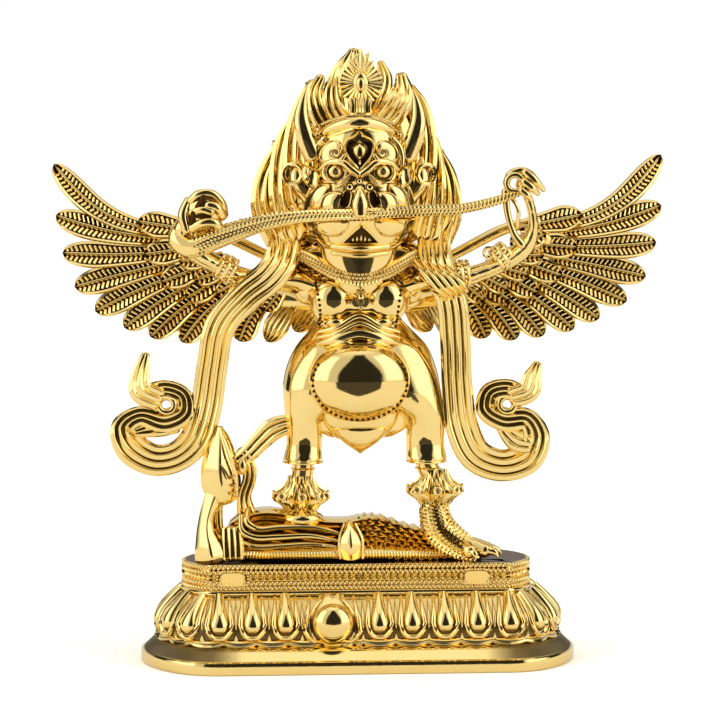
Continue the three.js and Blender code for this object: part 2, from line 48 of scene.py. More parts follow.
# Plinth: its outline is a core with rounded ends, and each part stands out from the core
CORE_CORNER = 47.3
CORE_DEPTH = 14.6
END_CENTRE = 33.5
PLATE_SHARE = 0.974  # the plate keeps to its own length, a little shorter at the ends
PLATE_OUT = 19.5
PLATE_RIM = 4.1
TIER_OUT = 3.0
TIER_FOOT = 22.5
TIER_LEFT = 0.6  # the tier sits a little to the left of the lotus
LOTUS_FOOT = 7.0
PETAL_PITCH = 10.4
BOSS_X = -9.9
BOSS_PETAL = 19.4
BOSS_RADIUS = 6.4
PANELS = (-41.6, 37.1)
PANEL_HALF = (4.4, 2.3)
FRILL_POINTS = 324

# Figure
FEATHER_WIDTH = 9.0
FEATHER_HALF = 1.0
FEATHER_RIM = 0.95
QUILL = 0.62
BARB_PITCH = 1.55
RIBBON_HALF = 1.9
RIBBON_BACK = (0, 0.94, -0.34)  # a level stretch of scarf leans back a little
SERPENT = 1.8
HEM_BEAD = 0.55
CUFF_BEADS = 18
ANKLET_LOBES = 8
SKIN_GRAIN = 0.75
SKIN_EASE = 10
BACK_LOCKS = 15

# Studio
LENS = 122.18
CAMERA_PLACE = (-55.8, -798.05, 140)
CAMERA_AIM = (0.65, 0, 97.8)
TABLE_HALF = 4.0  # metres
TABLE_EDGE = 0.15  # metres in front of the figure, where the polish starts to mirror the dark room
TABLE_PALE = (0.9, 0.875, 0.83, 1)
DARK_ROOM = (0.03, 0.025, 0.02, 1)
TENT_WHITE = (1.0, 0.985, 0.96, 1)
# Parts of the tent in degrees: aside from the front, from and to, then height, from and to
TENT_PANELS = (46, 92, 2, 58)
TENT_EDGES = (100, 122, -90, 62)
TENT_FLAGS = (150, 163, -90, 50)


# Shells


def unit(vectors):
    """The vectors at length one."""
    return vectors / np.maximum(np.linalg.norm(vectors, axis=-1, keepdims=True), 1e-9)


def enclosed(points, quads, tris):
    """Signed volume, which is negative where the faces point inwards."""
    corners = np.vstack([quads[:, [0, 1, 2]], quads[:, [0, 2, 3]], tris])
    a, b, c = (points[corners[:, k]] for k in range(3))
    return float(np.einsum("ij,ij->i", a, np.cross(b, c)).sum())


def placed(name, data):
    """A new object in the scene."""
    obj = bpy.data.objects.new(name, data)
    bpy.context.scene.collection.objects.link(obj)
    return obj


def baked(obj):
    """The object's mesh with its modifiers worked in; the object itself goes."""
    source = obj.data
    graph = bpy.context.evaluated_depsgraph_get()
    made = bpy.data.meshes.new_from_object(obj.evaluated_get(graph), depsgraph=graph)
    obj.modifiers.clear()
    bpy.data.objects.remove(obj)
    bpy.data.meshes.remove(source)
    return made


class Casting:
    """Closed shells that make one piece. Each point carries a darkness from 0, polished, to 1, dark: painted
    shade in recesses, holes and creases, and a painted dark reflection towards the plinth's ends.
    """

    def __init__(self, lift=0.0):
        self.lift = np.array([0.0, 0.0, lift])
        self.points, self.quads, self.tris, self.painted_shade = [], [], [], []
        self.count = 0

    def add(self, shell):
        """Takes in one shell in millimetres, with its faces turned outwards."""
        points, quads, tris, painted_shade = shell
        points = points + self.lift
        if enclosed(points - points.mean(axis=0), quads, tris) < 0:
            quads, tris = quads[:, ::-1], tris[:, ::-1]
        self.points.append(points)
        self.quads.append(quads + self.count)
        self.tris.append(tris + self.count)
        self.painted_shade.append(painted_shade)
        self.count += len(points)

    def add_all(self, shells):
        for shell in shells:
            self.add(shell)

    def take(self, mesh, painted_shade=0.0):
        """Adds a mesh in metres that is already in its place."""
        mesh.calc_loop_triangles()
        points = np.empty(len(mesh.vertices) * 3)
        mesh.vertices.foreach_get("co", points)
        tris = np.empty(len(mesh.loop_triangles) * 3, dtype=np.int32)
        mesh.loop_triangles.foreach_get("vertices", tris)
        points = points.reshape(-1, 3) / MM
        self.points.append(points)
        self.tris.append(tris.reshape(-1, 3).astype(int) + self.count)
        self.painted_shade.append(np.full(len(points), painted_shade))
        self.count += len(points)
        bpy.data.meshes.remove(mesh)

    def piece(self, name, material, node, crease=38):
        """One mesh that dresses the named part; edges sharper than the crease stay sharp."""
        points = np.vstack(self.points) * MM
        quads = np.vstack(self.quads)
        tris = np.vstack(self.tris)
        mesh = bpy.data.meshes.new(name)
        mesh.from_pydata(points.tolist(), [], quads.tolist() + tris.tolist())
        # The painted shade per point, which the gilding reads to darken its colour
        painted_shade = mesh.attributes.new("painted_shade", "FLOAT", "POINT")
        painted_shade.data.foreach_set("value", np.concatenate(self.painted_shade).astype(np.float32))
        mesh.update()
        mesh.polygons.foreach_set("use_smooth", np.ones(len(mesh.polygons), dtype=bool))
        mesh.set_sharp_from_angle(angle=math.radians(crease))
        mesh.materials.append(material)
        obj = placed(name, mesh)
        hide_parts(node)
        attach(obj, "root")
        return obj


def loft(rings, painted_shade=0.0, tips=None, ring_shaped=False):
    """A closed shell through equal rings of points."""
    rings = np.asarray(rings, float)
    rows, sides = rings.shape[:2]
    here = np.arange(rows * sides).reshape(rows, sides)
    beside = np.roll(here, -1, axis=1)
    marks = np.broadcast_to(np.asarray(painted_shade, float), (rows, sides))
    points = rings.reshape(-1, 3)
    if ring_shaped:
        ahead, ahead_beside = np.roll(here, -1, axis=0), np.roll(beside, -1, axis=0)
        quads = np.stack([here, beside, ahead_beside, ahead], axis=-1).reshape(-1, 4)
        return points, quads, np.zeros((0, 3), int), marks.ravel()
    quads = np.stack([here[:-1], beside[:-1], beside[1:], here[1:]], axis=-1).reshape(-1, 4)
    low, high = rows * sides, rows * sides + 1
    ends = tips if tips is not None else [rings[0].mean(axis=0), rings[-1].mean(axis=0)]
    points = np.vstack([points, ends])
    first = np.stack([beside[0], here[0], np.full(sides, low)], axis=-1)
    last = np.stack([here[-1], beside[-1], np.full(sides, high)], axis=-1)
    marks = np.concatenate([marks.ravel(), [marks[0].mean(), marks[-1].mean()]])
    return points, quads, np.vstack([first, last]), marks


def row_marks(marks, sides):
    """The same painted shade all the way round each ring."""
    return np.array(marks, float)[:, None] * np.ones(sides)


def refine(rows, steps):
    """Rows along one smooth curve through the given rows."""
    rows = np.asarray(rows, float)
    if len(rows) < 3 or steps < 2:
        return rows
    gaps = np.sqrt(np.linalg.norm(np.diff(rows[:, :3], axis=0), axis=1)) + 1e-6
    at = np.concatenate([[0], np.cumsum(gaps)])
    slope = np.gradient(rows, at, axis=0)
    out = []
    for i in range(len(rows) - 1):
        h = gaps[i]
        for t in np.arange(steps) / steps:
            out.append(
                (2 * t**3 - 3 * t**2 + 1) * rows[i]
                + (t**3 - 2 * t**2 + t) * h * slope[i]
                + (3 * t**2 - 2 * t**3) * rows[i + 1]
                + (t**3 - t**2) * h * slope[i + 1]
            )
    out.append(rows[-1])
    return np.array(out)


def along_points(points, steps):
    """Points along one smooth curve through the given points."""
    return refine([[*p, 0, 0] for p in points], steps)[:, :3]


def round_bar(sides=14):
    """A plain oval bar."""
    angle = np.arange(sides) * 2 * np.pi / sides
    circle = np.stack([np.cos(angle), np.sin(angle)], axis=1)
    return lambda width, depth: (circle * [width, depth], np.zeros(sides))


# One rib from crease to crease: place across, rise, painted shade, darkest in the crease
RIB = [
    (0, 0, 1),
    (0.12, 0.12, 0.2),
    (0.5, 0.52, 0),
    (0.91, 0.95, 0),
    (1, 1, 0),
    (1.09, 0.95, 0),
    (1.5, 0.52, 0),
    (1.88, 0.12, 0.2),
]


def ribbed(ribs, crease=0.5, dark=0.3):
    """A band pleated into ribs along its front, with painted shade in the creases between them, and a plain
    back.
    """
    front = []
    for k in range(ribs):
        for at, up, mark in RIB:
            front.append((-1 + (2 * k + at) / ribs, -(1 - crease) - crease * up, dark * mark))
    front = np.array([*front, (1, crease - 1, 0)])
    front[0, 2] = 0
    back = np.array([[1, 0.3, 0], [0.86, 0.9, 0], [0.4, 1, 0], [-0.4, 1, 0], [-0.86, 0.9, 0], [-1, 0.3, 0]])
    shape = np.vstack([front, back])
    return lambda width, depth: (shape[:, :2] * [width, depth], shape[:, 2])


def keeled():
    """A full bar whose front is drawn out to a soft lengthwise ridge."""
    half = np.array([0.03, 0.12, 0.26, 0.42, 0.6, 0.78, 0.92, 1])
    across = np.concatenate([-half[::-1], half])
    front = np.stack([across, 0.42 * np.abs(across) + 0.58 * across**2 - 1], axis=1)
    turn = np.linspace(0, np.pi, 10)[1:-1]
    shape = np.vstack([front, np.stack([np.cos(turn), np.sin(turn)], axis=1)])
    return lambda width, depth: (shape * [width, depth], np.zeros(len(shape)))


def sweep(rows, section=None, steps=4, hint=(0, 1, 0), ends=1.0, painted_shade=0.0):
    """A closed bar along rows of [x, y, z, half width, half depth]. Its depth lies along the hint."""
    section = section or round_bar()
    rows = refine(rows, steps)
    centre = rows[:, :3]
    along = unit(np.gradient(centre, axis=0))
    hint = np.asarray(hint, float)
    depth = unit(hint - along * (along @ hint)[:, None])
    across = np.cross(depth, along)
    rings, marks = [], []

    def ring(i, shrink, ahead):
        width, thick = np.maximum(rows[i, 3:5], 0.04)
        shape, mark = section(width, thick)
        shape = shape * shrink
        middle = centre[i] + along[i] * ahead * min(width, thick)
        rings.append(middle + across[i] * shape[:, :1] + depth[i] * shape[:, 1:])
        marks.append(np.maximum(mark, painted_shade))

    caps = [(math.cos(a), ends * math.sin(a)) for a in (1.3, 0.85, 0.4)] if ends else []
    for shrink, ahead in caps:
        ring(0, shrink, -ahead)
    for i in range(len(rows)):
        ring(i, 1, 0)
    for shrink, ahead in reversed(caps):
        ring(len(rows) - 1, shrink, ahead)
    return loft(rings, np.array(marks))


def tube(path, radius, sides=7, steps=4, painted_shade=0.0):
    """A round bar along points; a fourth number at a point is its own radius there."""
    rows = []
    for x, y, z, *own in path:
        thick = own[0] if own else radius
        rows.append([x, y, z, thick, thick])
    return sweep(rows, round_bar(sides), steps, painted_shade=painted_shade)


def ball(centre, radii, detail=18, painted_shade=0.0):
    """A closed ball or egg."""
    lat = np.linspace(-np.pi / 2, np.pi / 2, detail // 2 + 1)[1:-1]
    lon = np.arange(detail) * 2 * np.pi / detail
    parts = [
        np.outer(np.cos(lat), np.cos(lon)), np.outer(np.cos(lat), np.sin(lon)),
        np.outer(np.sin(lat), np.ones(detail)),
    ]
    rings = np.stack(parts, axis=-1)
    tips = np.array([[0, 0, -1], [0, 0, 1]]) * radii + centre
    return loft(rings * radii + centre, painted_shade, tips)


def wire_ring(points, outward, front, thick, sides):
    """Round wire along a closed ring of points, given two directions across it."""
    a = np.arange(sides) * 2 * np.pi / sides
    rings = (
        points[:, None, :]
        + outward[:, None, :] * (thick * np.cos(a))[None, :, None]
        + front[:, None, :] * (thick * np.sin(a))[None, :, None]
    )
    return loft(rings, ring_shaped=True)


def hoop(centre, radius, thick, axis=(0, -1, 0), sides=7, detail=18):
    """A closed ring of round wire."""
    axis = unit(np.array(axis, float))
    side = unit(np.cross(axis, [0.31, 0.2, 0.93]))
    up = np.cross(axis, side)
    turn = np.arange(detail) * 2 * np.pi / detail
    rim = np.cos(turn)[:, None] * side + np.sin(turn)[:, None] * up
    points = np.asarray(centre, float) + rim * radius
    return wire_ring(points, rim, np.broadcast_to(axis, rim.shape), thick, sides)


def oval(x, z, half_width, half_height, point=0.0, turn=0.0, sides=20):
    """A closed oval outline; point draws its upper and lower ends out to tips."""
    a = np.arange(sides) * 2 * np.pi / sides + np.pi / 2
    wide = half_width * np.cos(a) * np.abs(np.cos(a)) ** point
    tall = half_height * np.sin(a)
    c, s = math.cos(math.radians(turn)), math.sin(math.radians(turn))
    return np.stack([x + wide * c + tall * s, z - wide * s + tall * c], axis=1)


def drop(x, z, half_width, top, bottom, sides=20):
    """A drop outline, round below and drawn to a point above."""
    a = np.arange(sides) * 2 * np.pi / sides + np.pi / 2
    tall = np.sin(a)
    wide = half_width * np.cos(a) * np.where(tall > 0, (1 - tall) ** 0.35, 1.0)
    return np.stack([x + wide, z + np.where(tall > 0, top, bottom) * tall], axis=1)


def relief(outline, steps, place, sunk=1.5):
    """A form raised over an outline. Its steps are (inset as a share, height, painted shade)."""
    outline = np.asarray(outline, float)
    middle = outline.mean(axis=0)
    rings, marks = [], []
    for share, height, mark in [(0, -sunk, 0), *steps]:
        flat = outline + (middle - outline) * share
        rings.append(place(flat[:, 0], flat[:, 1], height))
        marks.append(np.full(len(outline), mark))
    return loft(rings, np.array(marks))


def sockets(tree, side, rows):
    """Gives a group its named inputs or outputs, by rows of (label, kind, value)."""
    for label, kind, value in rows:
        socket = tree.interface.new_socket(label, in_out=side, socket_type="NodeSocket" + kind)
        if value is not None:
            socket.default_value = value


def cleared(owner):
    """The shader nodes of a material or of the world, emptied."""
    owner.use_nodes = True
    owner.node_tree.nodes.clear()
    return owner.node_tree


def workbench(tree):
    """Short ways to fill a tree: a node, a link, a sum and a ramp from one range to another."""
    node, link = tree.nodes.new, tree.links.new

    def calc(kind, *values):
        made = node("ShaderNodeMath")
        made.operation = kind
        for index, value in enumerate(values):
            if isinstance(value, (int, float)):
                made.inputs[index].default_value = value
            else:
                link(value, made.inputs[index])
        return made.outputs[0]

    def ramp(value, low, high, bottom=0.0, top=1.0, ease="LINEAR"):
        made = node("ShaderNodeMapRange")
        made.interpolation_type = ease
        for index, number in enumerate((low, high, bottom, top)):
            made.inputs[index + 1].default_value = number
        link(value, made.inputs["Value"])
        return made.outputs[0]

    return node, link, calc, ramp


# Rows of ornament


def ornament_inputs(tree):
    """The named sizes of a row of ornaments, and its fixed seed."""
    sizes = [
        ("Paths", "Geometry", None),
        ("Pitch", "Float", 0.00125),
        ("Length", "Float", 0.001),
        ("Width", "Float", 0.001),
        ("Height", "Float", 0.001),
        ("Seed", "Int", 7),
        ("Unevenness", "Float", 0.06),
        ("Finish", "Material", None),
    ]
    sockets(tree, "INPUT", sizes)
    sockets(tree, "OUTPUT", [("Ornaments", "Geometry", None)])


def ornament_tree(name, shape):
    """Sets one ornament at even steps along every path. A path carries where each one points."""
    tree = bpy.data.node_groups.new(name, "GeometryNodeTree")
    ornament_inputs(tree)
    node, link, calc, _ = workbench(tree)
    given = node("NodeGroupInput").outputs
    to_curve = node("GeometryNodeMeshToCurve")
    resample = node("GeometryNodeResampleCurve")
    resample.mode = "LENGTH"
    link(given["Paths"], to_curve.inputs[0])
    link(to_curve.outputs[0], resample.inputs["Curve"])
    link(given["Pitch"], resample.inputs["Length"])

    def stored(label, kind):
        reading = node("GeometryNodeInputNamedAttribute")
        reading.data_type = kind
        reading.inputs["Name"].default_value = label
        return reading.outputs["Attribute"]

    point = node("FunctionNodeAlignRotationToVector")
    point.axis = "X"
    link(stored("lean", "FLOAT_VECTOR"), point.inputs["Vector"])
    turned = node("FunctionNodeAlignRotationToVector")
    turned.axis = "Z"
    turned.pivot_axis = "X"
    link(point.outputs[0], turned.inputs["Rotation"])
    link(stored("face", "FLOAT_VECTOR"), turned.inputs["Vector"])

    uneven = node("FunctionNodeRandomValue")
    uneven.data_type = "FLOAT"
    low = next(s for s in uneven.inputs if s.name == "Min" and s.type == "VALUE")
    high = next(s for s in uneven.inputs if s.name == "Max" and s.type == "VALUE")
    drawn = next(s for s in uneven.outputs if s.type == "VALUE")
    high.default_value = 1
    link(calc("SUBTRACT", 1, given["Unevenness"]), low)
    link(given["Seed"], uneven.inputs["Seed"])
    size = node("ShaderNodeCombineXYZ")
    link(calc("MULTIPLY", stored("reach", "FLOAT"), given["Length"]), size.inputs["X"])
    link(given["Width"], size.inputs["Y"])
    link(given["Height"], size.inputs["Z"])
    scale = node("ShaderNodeVectorMath")
    scale.operation = "SCALE"
    link(size.outputs[0], scale.inputs[0])
    link(drawn, scale.inputs["Scale"])

    copies = node("GeometryNodeInstanceOnPoints")
    link(resample.outputs["Curve"], copies.inputs["Points"])
    link(shape(tree), copies.inputs["Instance"])
    link(turned.outputs[0], copies.inputs["Rotation"])
    link(scale.outputs[0], copies.inputs["Scale"])
    real = node("GeometryNodeRealizeInstances")
    link(copies.outputs[0], real.inputs[0])
    finish = node("GeometryNodeSetMaterial")
    link(real.outputs[0], finish.inputs["Geometry"])
    link(given["Finish"], finish.inputs["Material"])
    link(finish.outputs[0], node("NodeGroupOutput").inputs["Ornaments"])
    return tree


def bead_shape(tree):
    """A small round granule."""
    bead = tree.nodes.new("GeometryNodeMeshIcoSphere")
    bead.inputs["Radius"].default_value = 1
    bead.inputs["Subdivisions"].default_value = 2
    return bead.outputs["Mesh"]


def bar_shape(tree):
    """A bar of unit length from its root along X, with a ridge along its top."""
    rod = tree.nodes.new("GeometryNodeMeshCylinder")
    rod.inputs["Vertices"].default_value = 4
    rod.inputs["Radius"].default_value = 1
    rod.inputs["Depth"].default_value = 1
    lay = tree.nodes.new("GeometryNodeTransform")
    lay.inputs["Rotation"].default_value = (0, math.pi / 2, 0)
    lay.inputs["Translation"].default_value = (0.5, 0, 0)
    tree.links.new(rod.outputs["Mesh"], lay.inputs["Geometry"])
    return lay.outputs["Geometry"]


def scale_shape(tree):
    """A four-sided scale, high at its tip and lying down at its root."""
    cone = tree.nodes.new("GeometryNodeMeshCone")
    cone.inputs["Vertices"].default_value = 4
    cone.inputs["Radius Bottom"].default_value = 1
    cone.inputs["Radius Top"].default_value = 0.25
    cone.inputs["Depth"].default_value = 1
    return cone.outputs["Mesh"]


def laid(tree, paths, material, pitch, length, width, height, uneven=0.06):
    """A plain mesh of ornaments along paths of (points, lean, face, reach), all in millimetres."""
    points, edges, lean, face, reach = [], [], [], [], []
    for path, leans, faces, reaches in paths:
        start = len(points)
        count = len(path)
        points += (np.asarray(path) * MM).tolist()
        lean += np.broadcast_to(leans, (count, 3)).tolist()
        face += np.broadcast_to(faces, (count, 3)).tolist()
        reach += np.broadcast_to(reaches, count).tolist()
        edges += [(start + i, start + i + 1) for i in range(count - 1)]
    mesh = bpy.data.meshes.new("paths")
    mesh.from_pydata(points, edges, [])
    for label, kind, values in (
        ("lean", "FLOAT_VECTOR", lean),
        ("face", "FLOAT_VECTOR", face),
        ("reach", "FLOAT", reach),
    ):
        attribute = mesh.attributes.new(label, kind, "POINT")
        field = "vector" if kind == "FLOAT_VECTOR" else "value"
        attribute.data.foreach_set(field, np.asarray(values, np.float32).ravel())
    carrier = placed("paths", mesh)
    modifier = carrier.modifiers.new("ornaments", "NODES")
    modifier.node_group = tree
    given = {
        "Pitch": pitch * MM,
        "Length": length * MM,
        "Width": width * MM,
        "Height": height * MM,
        "Seed": 7,
        "Unevenness": uneven,
        "Finish": material,
    }
    for item in tree.interface.items_tree:
        if item.in_out == "INPUT" and item.name in given:
            modifier[item.identifier] = given[item.name]
    return baked(carrier)


def bead_paths(path, face, lift=0.0):
    """One path for beads that stand on a curve and face outwards."""
    path = np.asarray(path, float)
    along = unit(np.gradient(path, axis=0))
    face = np.broadcast_to(np.asarray(face, float), path.shape)
    return (path + face * lift, along, face, 1.0)


# Finishes


def gilt_skin():
    """Cloudy tone, painted shade that darkens recesses and holes, and the faint unevenness of a polished
    casting, shared by the gilding.
    """
    tree = bpy.data.node_groups.new("gilt_skin", "ShaderNodeTree")
    values = [
        ("Place", "Vector", None),
        # How much painted shade a point has: it takes the colour towards Dark and roughens it
        ("Painted shade", "Float", None),
        ("Bright", "Color", (1, 0.77, 0.31, 1)),
        ("Warm", "Color", (0.96, 0.66, 0.2, 1)),
        ("Dark", "Color", (0.07, 0.035, 0.008, 1)),
        ("Polish", "Float", 0.07),
        ("Cloud size", "Float", 60.0),
        ("Grain size", "Float", 900.0),
    ]
    results = [("Colour", "Color", None), ("Roughness", "Float", None), ("Height", "Float", None)]
    sockets(tree, "INPUT", values)
    sockets(tree, "OUTPUT", results)
    node, link, calc, ramp = workbench(tree)
    given = node("NodeGroupInput").outputs
    out = node("NodeGroupOutput").inputs

    def noise(size, detail):
        made = node("ShaderNodeTexNoise")
        made.inputs["Detail"].default_value = detail
        link(given["Place"], made.inputs["Vector"])
        link(given[size], made.inputs["Scale"])
        return made.outputs["Fac"]

    def mixed(share, first, second):
        made = node("ShaderNodeMix")
        made.data_type = "RGBA"
        link(share, made.inputs["Factor"])
        link(first, made.inputs["A"])
        link(second, made.inputs["B"])
        return made.outputs["Result"]

    cloud = noise("Cloud size", 3)
    grain = noise("Grain size", 4)
    tone = mixed(ramp(cloud, 0.35, 0.7, 0, 0.35), given["Bright"], given["Warm"])
    link(mixed(given["Painted shade"], tone, given["Dark"]), out["Colour"])
    rough = calc("ADD", given["Polish"], ramp(grain, 0.3, 0.8, 0, 0.07))
    link(calc("MULTIPLY_ADD", given["Painted shade"], 0.35, rough), out["Roughness"])
    link(calc("MULTIPLY_ADD", grain, 0.12, cloud), out["Height"])
    return tree


def gilding(name, skin, polish, bump):
    """Bright gold plate over the casting, with painted shade in the recesses and holes, and a painted dark
    reflection towards the plinth's ends.
    """
    material = bpy.data.materials.new(name)
    node, link, *_ = workbench(cleared(material))
    place = node("ShaderNodeTexCoord")
    # Each piece's painted shade per point
    marks = node("ShaderNodeAttribute")
    marks.attribute_name = "painted_shade"
    effect = node("ShaderNodeGroup")
    effect.node_tree = skin
    effect.inputs["Polish"].default_value = polish
    shader = node("ShaderNodeBsdfPrincipled")
    shader.inputs["Metallic"].default_value = 1
    rise = node("ShaderNodeBump")
    rise.inputs["Strength"].default_value = bump
    rise.inputs["Distance"].default_value = 0.0002
    out = node("ShaderNodeOutputMaterial")
    link(place.outputs["Object"], effect.inputs["Place"])
    link(marks.outputs["Fac"], effect.inputs["Painted shade"])
    link(effect.outputs["Colour"], shader.inputs["Base Color"])
    link(effect.outputs["Roughness"], shader.inputs["Roughness"])
    link(effect.outputs["Height"], rise.inputs["Height"])
    link(rise.outputs["Normal"], shader.inputs["Normal"])
    link(shader.outputs["BSDF"], out.inputs["Surface"])
    return material


SKIN = gilt_skin()
GILT = gilding("gilt_polished", SKIN, 0.05, 0.25)
GILT_FINE = gilding("gilt_chased", SKIN, 0.09, 0.5)
BEADS = ornament_tree("bead_rows", bead_shape)
BARS = ornament_tree("barb_rows", bar_shape)
SCALES = ornament_tree("scale_rows", scale_shape)


# Plinth


def plan_table():
    """Core points and outward directions round the plinth, against distance along its lotus line."""
    guide = TIER_OUT + 0.5 * (PLATE_OUT - TIER_OUT)
    end_angle = math.atan2(CORE_DEPTH, CORE_CORNER - END_CENTRE)
    end_radius = math.hypot(CORE_DEPTH, CORE_CORNER - END_CENTRE)
    bend = math.pi / 2 - end_angle
    front, back = (CORE_CORNER, -CORE_DEPTH), (CORE_CORNER, CORE_DEPTH)
    share = np.linspace(0, 1, 60)

    def line(start, end, angle):
        return np.array(start) + (np.array(end) - start) * share[:, None], np.full(60, angle)

    def turn(centre, radius, start, sweep_by):
        a = start + sweep_by * share
        return np.array(centre) + radius * np.stack([np.cos(a), np.sin(a)], axis=1), a

    right = [
        line((0, -CORE_DEPTH), front, -math.pi / 2),
        turn(front, 0.0, -math.pi / 2, bend),
        turn((END_CENTRE, 0), end_radius, -end_angle, 2 * end_angle),
        turn(back, 0.0, end_angle, bend),
        line(back, (0, CORE_DEPTH), math.pi / 2),
    ]
    core = np.vstack([points for points, _ in right])
    angle = np.concatenate([angles for _, angles in right])
    core = np.vstack([core, (core * [-1, 1])[::-1]])
    angle = np.concatenate([angle, (math.pi - angle)[::-1]])
    out = np.stack([np.cos(angle), np.sin(angle)], axis=1)
    run = core + guide * out
    at = np.concatenate([[0], np.cumsum(np.linalg.norm(np.diff(run, axis=0), axis=1))])
    return at, core, out


PLAN_AT, PLAN_CORE, PLAN_OUT = plan_table()
PLAN_LENGTH = PLAN_AT[-1]


def plan(distance):
    """Core points and outward directions at distances along the lotus line from the front's middle."""
    at = np.mod(distance, PLAN_LENGTH)
    core = np.stack([np.interp(at, PLAN_AT, PLAN_CORE[:, k]) for k in range(2)], axis=-1)
    out = np.stack([np.interp(at, PLAN_AT, PLAN_OUT[:, k]) for k in range(2)], axis=-1)
    return core, unit(out)


def level(offset, z, count=240):
    """A ring of points round the plinth, that far out from its core."""
    core, out = plan(np.arange(count) * PLAN_LENGTH / count)
    flat = core + out * offset
    return np.column_stack([flat, np.full(count, float(z))])


LOTUS_UP = [-0.06, 0.15, 0.32, 0.41, 0.57, 0.67, 0.75, 0.83, 0.92, 1.01, 1.08]
LOTUS_OUT = [10.4, 11.6, 12.2, 12.2, 11.3, 10.1, 8.9, 7.6, 6.1, 4.5, 3.2]


def lotus_surface(distance, up, height):
    """Points on the lotus ring: distance round it, up from 0 at its foot to 1, and height off it."""
    distance, up = np.broadcast_arrays(np.asarray(distance, float), np.asarray(up, float))
    core, out = plan(distance)
    swell = np.interp(up, LOTUS_UP, LOTUS_OUT)
    slope = (np.interp(up + 0.05, LOTUS_UP, LOTUS_OUT) - np.interp(up - 0.05, LOTUS_UP, LOTUS_OUT)) / 0.1
    rise = TIER_FOOT - LOTUS_FOOT
    tilt = np.arctan2(-slope, rise)
    flat = core + out * (swell + height * np.cos(tilt))[..., None]
    z = LOTUS_FOOT + up * rise + height * np.sin(tilt)
    return np.concatenate([flat, z[..., None]], axis=-1)


def petal_arch(half_width, foot):
    """The U of a petal's edge, as distances from its middle and heights."""
    t = np.linspace(-1, 1, 17)
    aside = np.abs(t)
    across = half_width * np.sign(t) * np.minimum(1, aside * 1.7) ** 0.75
    down = np.where(aside < 0.6, 1 - (aside / 0.6) ** 2.4, 0)
    shoulder, top = foot + 0.22, 0.98
    side = shoulder + (top - shoulder) * (aside - 0.6) / 0.4
    up = np.where(aside < 0.6, shoulder - (shoulder - foot) * down, side)
    narrow = 1 - 0.2 * np.clip((up - 0.4) / 0.6, 0, 1)
    return across * narrow, up


def petal_line(middle, half_width, foot, radius, lift):
    """The raised edge of a petal, slimmer towards the tier."""
    across, up = petal_arch(half_width, foot)
    points = lotus_surface(middle + across, up, lift)
    slim = 1 - 0.35 * np.clip((up - 0.5) / 0.5, 0, 1)
    rows = [[*p, radius * s, radius * s] for p, s in zip(points, slim)]
    return sweep(rows, round_bar(8), steps=1, hint=(0.1, 0.1, 1))


def petal_tongue(middle, half_width, foot, bulge):
    """The swollen tongue inside a petal, round at its foot and running up under the tier."""
    top = 1.02
    round_end = half_width / (TIER_FOOT - LOTUS_FOOT)
    share = np.linspace(0.02, 1, 12) ** 1.6
    a = np.linspace(0, np.pi, 13)
    rings = []
    for up in foot + (top - foot) * share:
        close = min(1.0, (up - foot) / round_end)
        swell = math.sqrt(1 - (1 - close) ** 2)
        wide = half_width * swell * (1 - 0.42 * np.clip((up - 0.5) / 0.5, 0, 1))
        x = np.concatenate([wide * np.cos(a), [-wide * 0.6, wide * 0.6]])
        high = np.concatenate([bulge * swell * np.sin(a) ** 0.9 - 0.1, [-0.9, -0.9]])
        rings.append(lotus_surface(middle + x, up, high))
    return loft(rings)


def petal_leaf(middle, half_width, foot, top, bulge):
    """A raised drop on the petal, broad and round at its foot."""
    height = (top - foot) / 2
    below = 0.62 * height
    shape = drop(0, foot + below, half_width, top - foot - below, below, 18)
    # Painted shade round the drop's foot
    rises = ((0, 0, 0.5), (0.12, 0.5, 0), (0.32, 0.85, 0), (0.62, 1, 0), (0.9, 1.02, 0))
    steps = [(share, bulge * rise, mark) for share, rise, mark in rises]
    return relief(shape, steps, lambda x, z, h: lotus_surface(middle + x, z, h), sunk=0.8)


def petals():
    """The petals round the lotus, the broad one with its boss, and small drops between them."""
    rest = PLAN_LENGTH - BOSS_PETAL
    count = round(rest / PETAL_PITCH)
    width = rest / count
    first = BOSS_X + BOSS_PETAL / 2
    shells = []
    for i in range(count):
        middle = first + width * (i + 0.5)
        shells.append(petal_line(middle, 0.375 * width, 0.25, 0.85, 0.45))
        shells.append(petal_tongue(middle, 0.27 * width, 0.33, 2.1))
    shells += [
        petal_line(BOSS_X, 0.455 * BOSS_PETAL, 0.12, 0.85, 0.5),
        petal_tongue(BOSS_X, 0.37 * BOSS_PETAL, 0.3, 1.4),
        hoop_on_lotus(BOSS_X, 0.51, 7.3, 0.45, 0.5),
    ]
    for i in range(count + 1):
        shells.append(petal_leaf(first + width * i, 0.8, 0.12, 0.34, 0.8))
        shells.append(petal_leaf(first + width * i, 0.55, 0.4, 1.0, 0.7))
    return shells


def hoop_on_lotus(middle, up, radius, thick, lift):
    """A ring of wire laid on the lotus round the boss."""
    a = np.arange(28) * 2 * np.pi / 28
    rise = TIER_FOOT - LOTUS_FOOT
    points = lotus_surface(middle + radius * np.cos(a), up + radius * np.sin(a) / rise, lift)
    along = unit(np.roll(points, -1, axis=0) - np.roll(points, 1, axis=0))
    outward = unit(points - points.mean(axis=0))
    return wire_ring(points, outward, np.cross(along, outward), thick, 7)


# The frill from under the petals down: out, height, sway out, sag, painted shade in its crease and underneath
FRILL = [
    (8, 10.3, 0, 0, 0),
    (11.2, 10.6, 0.3, 0.2, 0),
    (11.9, 10.3, 0.8, 0.5, 0),
    (12.2, 9.9, 0.9, 0.6, 0),
    (12.0, 9.6, 0.9, 0.7, 0.7),
    (12.2, 9.4, 0.9, 0.8, 0),
    (12.5, 9.0, 1.0, 0.9, 0),
    (12.2, 8.5, 1.0, 0.9, 0.1),
    (11.6, 8.2, 0.8, 0.8, 0.4),
    (8, 7.6, 0, 0, 0.4),
]


